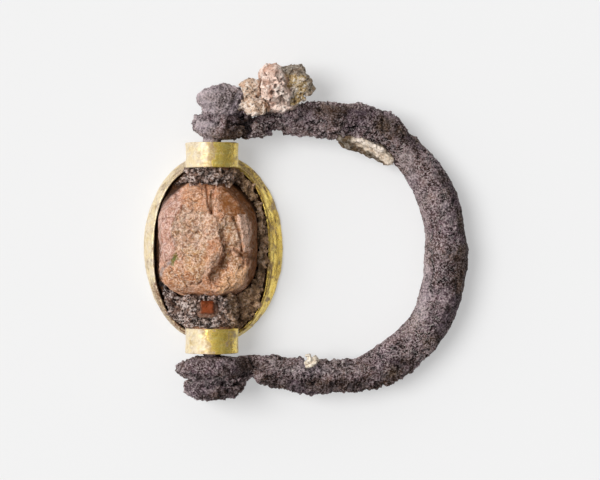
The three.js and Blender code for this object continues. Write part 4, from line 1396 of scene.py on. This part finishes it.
class RING_OT_fill(bpy.types.Operator):
    """Makes the crust between the stone and the gold"""

    bl_idname = "ring.fill"
    bl_label = "Crust in the mount"

    def execute(self, context):
        soil = settings()[3]
        piece = fuse("mount_crust", add_lumps(cad_copy("setting_fill"), FILL_LUMPS), soil.skin)
        skin = Skin(piece)
        skin.push(STONE_PUSHES)
        relief = np.clip(0.5 * skin.worms(0.8) + 0.6 * skin.grains(0.65, 4), 0, 1)
        relief = relief * (1 - 0.95 * rise(skin.wander(0.55, 20) + 0.4 * skin.wander(0.25, 22), 0.2, 0.6))
        skin.lift(0.1 + 0.4 * (relief - 0.6) + 0.12 * skin.wander(1.1, 6) + 0.8 * skin.facets(1.0, 8))
        along = skin.places[:, 1]
        gap = rise(-skin.places[:, 0], *GAP_SIDE) * rise(along, *GAP_HEAD) * (1 - rise(along, *GAP_TAIL))
        skin.place(skin.places - np.outer(GAP_DEPTH * gap, (0, 0, 1)))
        pale = np.zeros(len(relief))
        for at, reach in FILL_PALE:
            pale = np.maximum(pale, np.exp(-(((skin.plan - at) / reach) ** 2).sum(axis=1)))
        pale = pale * (0.7 + 0.4 * skin.wander(0.5, 71))
        # Browner and paler towards the right, where the stone shades the crust: partly its own brown, partly
        # painted light
        brown = rise(skin.places[:, 0] + 0.7 * skin.wander(1.3, 41), 0.3, 3.0)
        skin.mark(gap=gap, pale=pale, relief=relief, brown=brown)
        hand_over(piece, self.finish(soil), "bezel", "dark_crust", "setting_fill")
        return {"FINISHED"}

    def finish(self, soil):
        """Dark pitted crust with pale specks; the pits and the plates' low edges are painted shade and the
        specks partly painted highlights.
        """
        finish = Finish("Dark crust")
        relief, brown = finish.mark("relief"), finish.mark("brown")
        crumbs = finish.noise(0.27, 3.0, keen=0.7)
        plates = finish.noise(0.8, 4.0, keen=0.6)
        patches = finish.noise(1.2, 3.0, keen=0.6)
        deep = 1 - brown * 0.5
        top = crumbs.between(0.5, 0.56) * plates.between(0.42, 0.52) * (1 - brown * 0.6)
        shade = finish.coats(
            soil.crust,
            (patches.between(0.46, 0.54), "grey crust"),
            # Browner and paler on the right: partly its own brown, partly painted light
            (brown, "brown crust"),
            (finish.mark("pale").between(0.1, 0.8), "pale crust"),
            # Painted shade at the plates' low edges and in the pits
            ((1 - plates).between(0.48, 0.56) * 0.6, "plate edge"),
            ((1 - relief.between(0.0, 0.3)) * deep * 0.8, "deep pit"),
            ((1 - crumbs).between(0.5, 0.56) * deep * 0.85, "crust pit"),
            # Pale specks where the bump is high, partly painted highlights
            (top * 0.9, soil.crust_speck),
            # Painted shadow in the sunk gap
            (finish.mark("gap") * 0.95, "gap"),
        )
        return finish.done(
            Base_Color=shade,
            Roughness=0.7,
            Specular_IOR_Level=0.15,
            Normal=finish.bump(crumbs * 1.2 + plates * 0.8 + relief * 0.3, 0.5),
        )


class RING_OT_soil(bpy.types.Operator):
    """Makes the soil and lime that stick to the silver"""

    bl_idname = "ring.soil"
    bl_label = "Soil and lime"

    def crumble(self, name, shape, facet, tilt, tones, pits=(), pushes=()):
        """A lump of soil with broken faces, pits and a second tone."""
        piece = fuse(name, shape, settings()[3].skin)
        skin = Skin(piece)
        skin.push(pushes)
        holes = 0.7 * rise(skin.wander(0.3, 8) + 0.5 * skin.wander(0.6, 9), 0.85, 1.2)
        sunk = 0.12 * holes
        spots = skin.plan + 0.1 * skin.sway(0.3)
        for middle, wide, deep in pits:
            away = np.hypot(*(spots - middle).T) / wide
            amount = (1 - rise(away, 0.5, 1.3)) * skin.facing_up(-0.1, 0.3)
            sunk += deep * amount
            holes = np.maximum(holes, 0.65 * amount)
        skin.lift(tilt * skin.facets(facet, 5) + skin.waves(SOIL_WAVES) - sunk)
        skin.mark(holes=holes, clay=tones(skin))
        return piece

    def patches(self, skin):
        """Where the second tone lies in scattered patches."""
        return rise(skin.wander(1.0, 33), 0.1, 0.8)

    def flake_edge(self, skin):
        """Where the arm flake is dark: its tip and its lower edge."""
        wavy = 0.3 * skin.wander(0.5, 7)
        tip = rise(wavy - skin.places[:, 0], -13.6, -13.0)
        return np.maximum(tip, rise(away_from(skin.plan, FLAKE_ROOT) + wavy, 0.4, 0.65))

    def slab_side(self, skin):
        """Where the slab is greyer: its upper piece and its right side."""
        wavy = 0.2 * skin.wander(0.5, 7)
        upper = rise(skin.places[:, 1] + wavy, 16.2, 16.5)
        return np.maximum(upper, 0.8 * rise(skin.places[:, 0] + wavy, 8.8, 9.1))

    def finish(self, name, body, second, pit_shade, grit):
        """Porous soil in two tones with dark holes and this much grit, with painted shade in its holes, pits
        and low places and painted highlights on its high places.
        """
        finish = Finish(name)
        holes, clay = finish.mark("holes"), finish.mark("clay")
        crumbs = finish.noise(0.24, 2.0, keen=0.65)
        coarse = finish.noise(0.8, 3.0)
        specks = finish.noise(0.26, 1.0).between(0.64, 0.7)
        shade = finish.coats(
            body,
            (clay, second),
            # Painted highlights where the bump is high and painted shade where it is low
            (coarse.between(0.5, 0.6) * (1 - clay * 0.8) * 0.6, "bloom"),
            ((1 - coarse).between(0.5, 0.6) * 0.2, "soil shade"),
            # Painted shade in the pits, specks and holes, and grit that is partly painted highlights
            ((1 - crumbs).between(0.56, 0.6) * (0.9 * grit), pit_shade),
            (crumbs.between(0.53, 0.6) * (1 - clay * 0.6) * (0.9 * grit), "grit"),
            (specks * (0.9 * grit), pit_shade),
            (holes * 0.9, pit_shade),
        )
        height = crumbs * grit + coarse * 0.8 - specks * 0.3 - holes * 0.4
        return finish.done(
            Base_Color=shade, Roughness=0.85, Specular_IOR_Level=0.25, Normal=finish.bump(height, 0.4)
        )

    def crumb(self):
        """The lime crumb as a star of grains."""
        low, high = (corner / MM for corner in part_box("lime_crumb"))
        middle, half = (low + high) / 2, (high - low) / 2
        grains = []
        for share_of_box, size in CRUMB_GRAINS:
            at = [m + h * part for m, h, part in zip(middle, half, share_of_box)]
            grains.append((at, (size, size * 0.8, size * 1.3), 0.0))
        return add_lumps(bmesh.new(), grains)

    def execute(self, context):
        soil = settings()[3]
        earth = self.finish("Burial soil", soil.soil, "rose earth", soil.soil_pit_shade, 0.45)
        clay = self.finish("Yellow clay", soil.clay, "grey clay", soil.soil_pit_shade, 0.6)
        lumps = self.finish("Lumpy soil", "lump", "lump hollow", soil.soil_pit_shade, 0.6)
        scale = self.finish("Pale scale", "scale", "scale edge", "scale pit", 0.4)
        lime = self.finish("Lime", soil.lime, "cream lime", "lime pit", 0.6)
        crag = add_lumps(hew(cad_copy("soil_crag"), CRAG_OUTLINE), CRAG_LUMPS)
        for at, outward in CRAG_BREAKS:
            cut(crag, at, outward)
        slab = add_blocks(bmesh.new(), SLAB_BLOCKS)
        cluster = cad_copy("soil_cluster")
        flake = add_lumps(cad_copy("arm_scale"), FLAKE_LUMPS)
        crumb = self.crumb()
        for node, slot, material, *form in (
            ("soil_crag", "burial_soil", earth, "broken_crag", crag, 1.3, 0.7, self.patches, CRAG_PITS),
            ("soil_slab", "burial_soil", clay, "clay_slab", slab, 1.2, 0.25, self.slab_side),
            (
                "soil_cluster", "burial_soil", lumps, "soil_lumps", cluster, 0.6, 0.3, self.patches,
                CLUSTER_PITS, CLUSTER_PUSHES,
            ),
            (
                "arm_scale", "burial_soil", scale, "arm_flake", flake, 0.8, 0.3, self.flake_edge,
                (), FLAKE_PUSHES,
            ),
            ("lime_crumb", "lime", lime, "lime_grains", crumb, 0.4, 0.3, self.patches),
        ):
            hand_over(self.crumble(*form), material, "hoop", slot, node)
        return {"FINISHED"}


class RING_OT_stage(bpy.types.Operator):
    """Sets up the pale floor, the soft light from the upper left and the camera overhead"""

    bl_idname = "ring.stage"
    bl_label = "Stage"

    def floor(self, stage):
        """A pale floor that shows the ring's shadow, lightened."""
        shape = bmesh.new()
        bmesh.ops.create_grid(shape, x_segments=4, y_segments=4, size=FLOOR_REACH)
        bmesh.ops.translate(shape, vec=(0, 0, -FLOOR_DROP), verts=shape.verts)
        floor = new_piece("floor", shape)
        floor.data.transform(Matrix.Scale(MM, 4))
        finish = Finish("Pale floor")
        seen = sum(
            finish.add("ShaderNodeLightPath", output=f"Is {kind} Ray")
            for kind in ("Camera", "Glossy", "Transmission")
        )
        shade = finish.mix(finish.noise(60, 1.0) * 0.02, stage.floor, "paper grain")
        lit = finish.add("ShaderNodeBsdfDiffuse", {}, {"Color": shade})
        glow = finish.add("ShaderNodeEmission", {}, {"Color": (*stage.floor, 1)})
        mixed = {0: seen.between(0, 1) * FLOOR_GLOW, 1: lit, 2: glow}
        finish.add_output(finish.add("ShaderNodeMixShader", {}, mixed))
        floor.data.materials.append(finish.material)

    def sky(self, stage):
        """Soft light all round, brighter from the left and the top."""
        world = bpy.data.worlds.new("Soft room")
        world.use_nodes = True
        tree = world.node_tree
        place = tree.nodes.new("ShaderNodeTexCoord")
        lean = tree.nodes.new("ShaderNodeVectorMath")
        lean.operation = "DOT_PRODUCT"
        lean.inputs[1].default_value = SKY_WAY
        level = tree.nodes.new("ShaderNodeMath")
        level.operation = "MULTIPLY_ADD"
        level.inputs[1].default_value = stage.sky
        level.inputs[2].default_value = stage.sky
        tree.links.new(place.outputs["Generated"], lean.inputs[0])
        tree.links.new(lean.outputs["Value"], level.inputs[0])
        tree.links.new(level.outputs[0], tree.nodes["Background"].inputs["Strength"])
        tree.nodes["Background"].inputs["Color"].default_value = (1, 1, 1, 1)
        bpy.context.scene.world = world

    def execute(self, context):
        stage = settings()[4]
        self.floor(stage)
        self.sky(stage)
        sun = bpy.data.lights.new("key", "SUN")
        sun.energy = stage.sun
        sun.angle = np.radians(SUN_WIDTH)
        key = bpy.data.objects.new("key", sun)
        key.rotation_euler = Vector(SUN_WAY).to_track_quat("Z", "Y").to_euler()
        context.scene.collection.objects.link(key)
        lens = bpy.data.cameras.new("overhead")
        lens.lens = lens.sensor_width * stage.distance / stage.view_width
        lens.clip_start = 0.01
        camera = bpy.data.objects.new("overhead", lens)
        across, along = PICTURE_MIDDLE
        camera.location = (across * MM, along * MM, PIVOT_HEIGHT * MM + stage.distance)
        context.scene.collection.objects.link(camera)
        context.scene.camera = camera
        context.scene.view_settings.view_transform = "Standard"
        return {"FINISHED"}


class RING_PT_makers(bpy.types.Panel):
    """Lists the ring's makers and settings"""

    bl_label = "Scarab ring"
    bl_idname = "RING_PT_makers"
    bl_space_type = "VIEW_3D"
    bl_region_type = "UI"
    bl_category = "Ring"

    def draw(self, context):
        for maker in MAKERS:
            self.layout.operator(maker.bl_idname)
        for group in settings():
            for name in group.__annotations__:
                self.layout.prop(group, name)


GROUPS = {
    "ring_silver": RING_PG_silver,
    "ring_gold": RING_PG_gold,
    "ring_stone": RING_PG_stone,
    "ring_soil": RING_PG_soil,
    "ring_stage": RING_PG_stage,
}
MAKERS = (
    RING_OT_hoop,
    RING_OT_wire,
    RING_OT_rim,
    RING_OT_collars,
    RING_OT_stone,
    RING_OT_fill,
    RING_OT_soil,
    RING_OT_stage,
)


def register():
    for kind in (*GROUPS.values(), *MAKERS, RING_PT_makers):
        bpy.utils.register_class(kind)
    for name, group in GROUPS.items():
        setattr(bpy.types.Scene, name, bpy.props.PointerProperty(type=group))


def unregister():
    for name in GROUPS:
        delattr(bpy.types.Scene, name)
    for kind in (RING_PT_makers, *reversed(MAKERS), *reversed(GROUPS.values())):
        bpy.utils.unregister_class(kind)


def main():
    """Makes the ring and its stage."""
    register()
    for maker in MAKERS:
        getattr(bpy.ops.ring, maker.bl_idname.split(".")[1])()


if __name__ == "__main__":
    main()
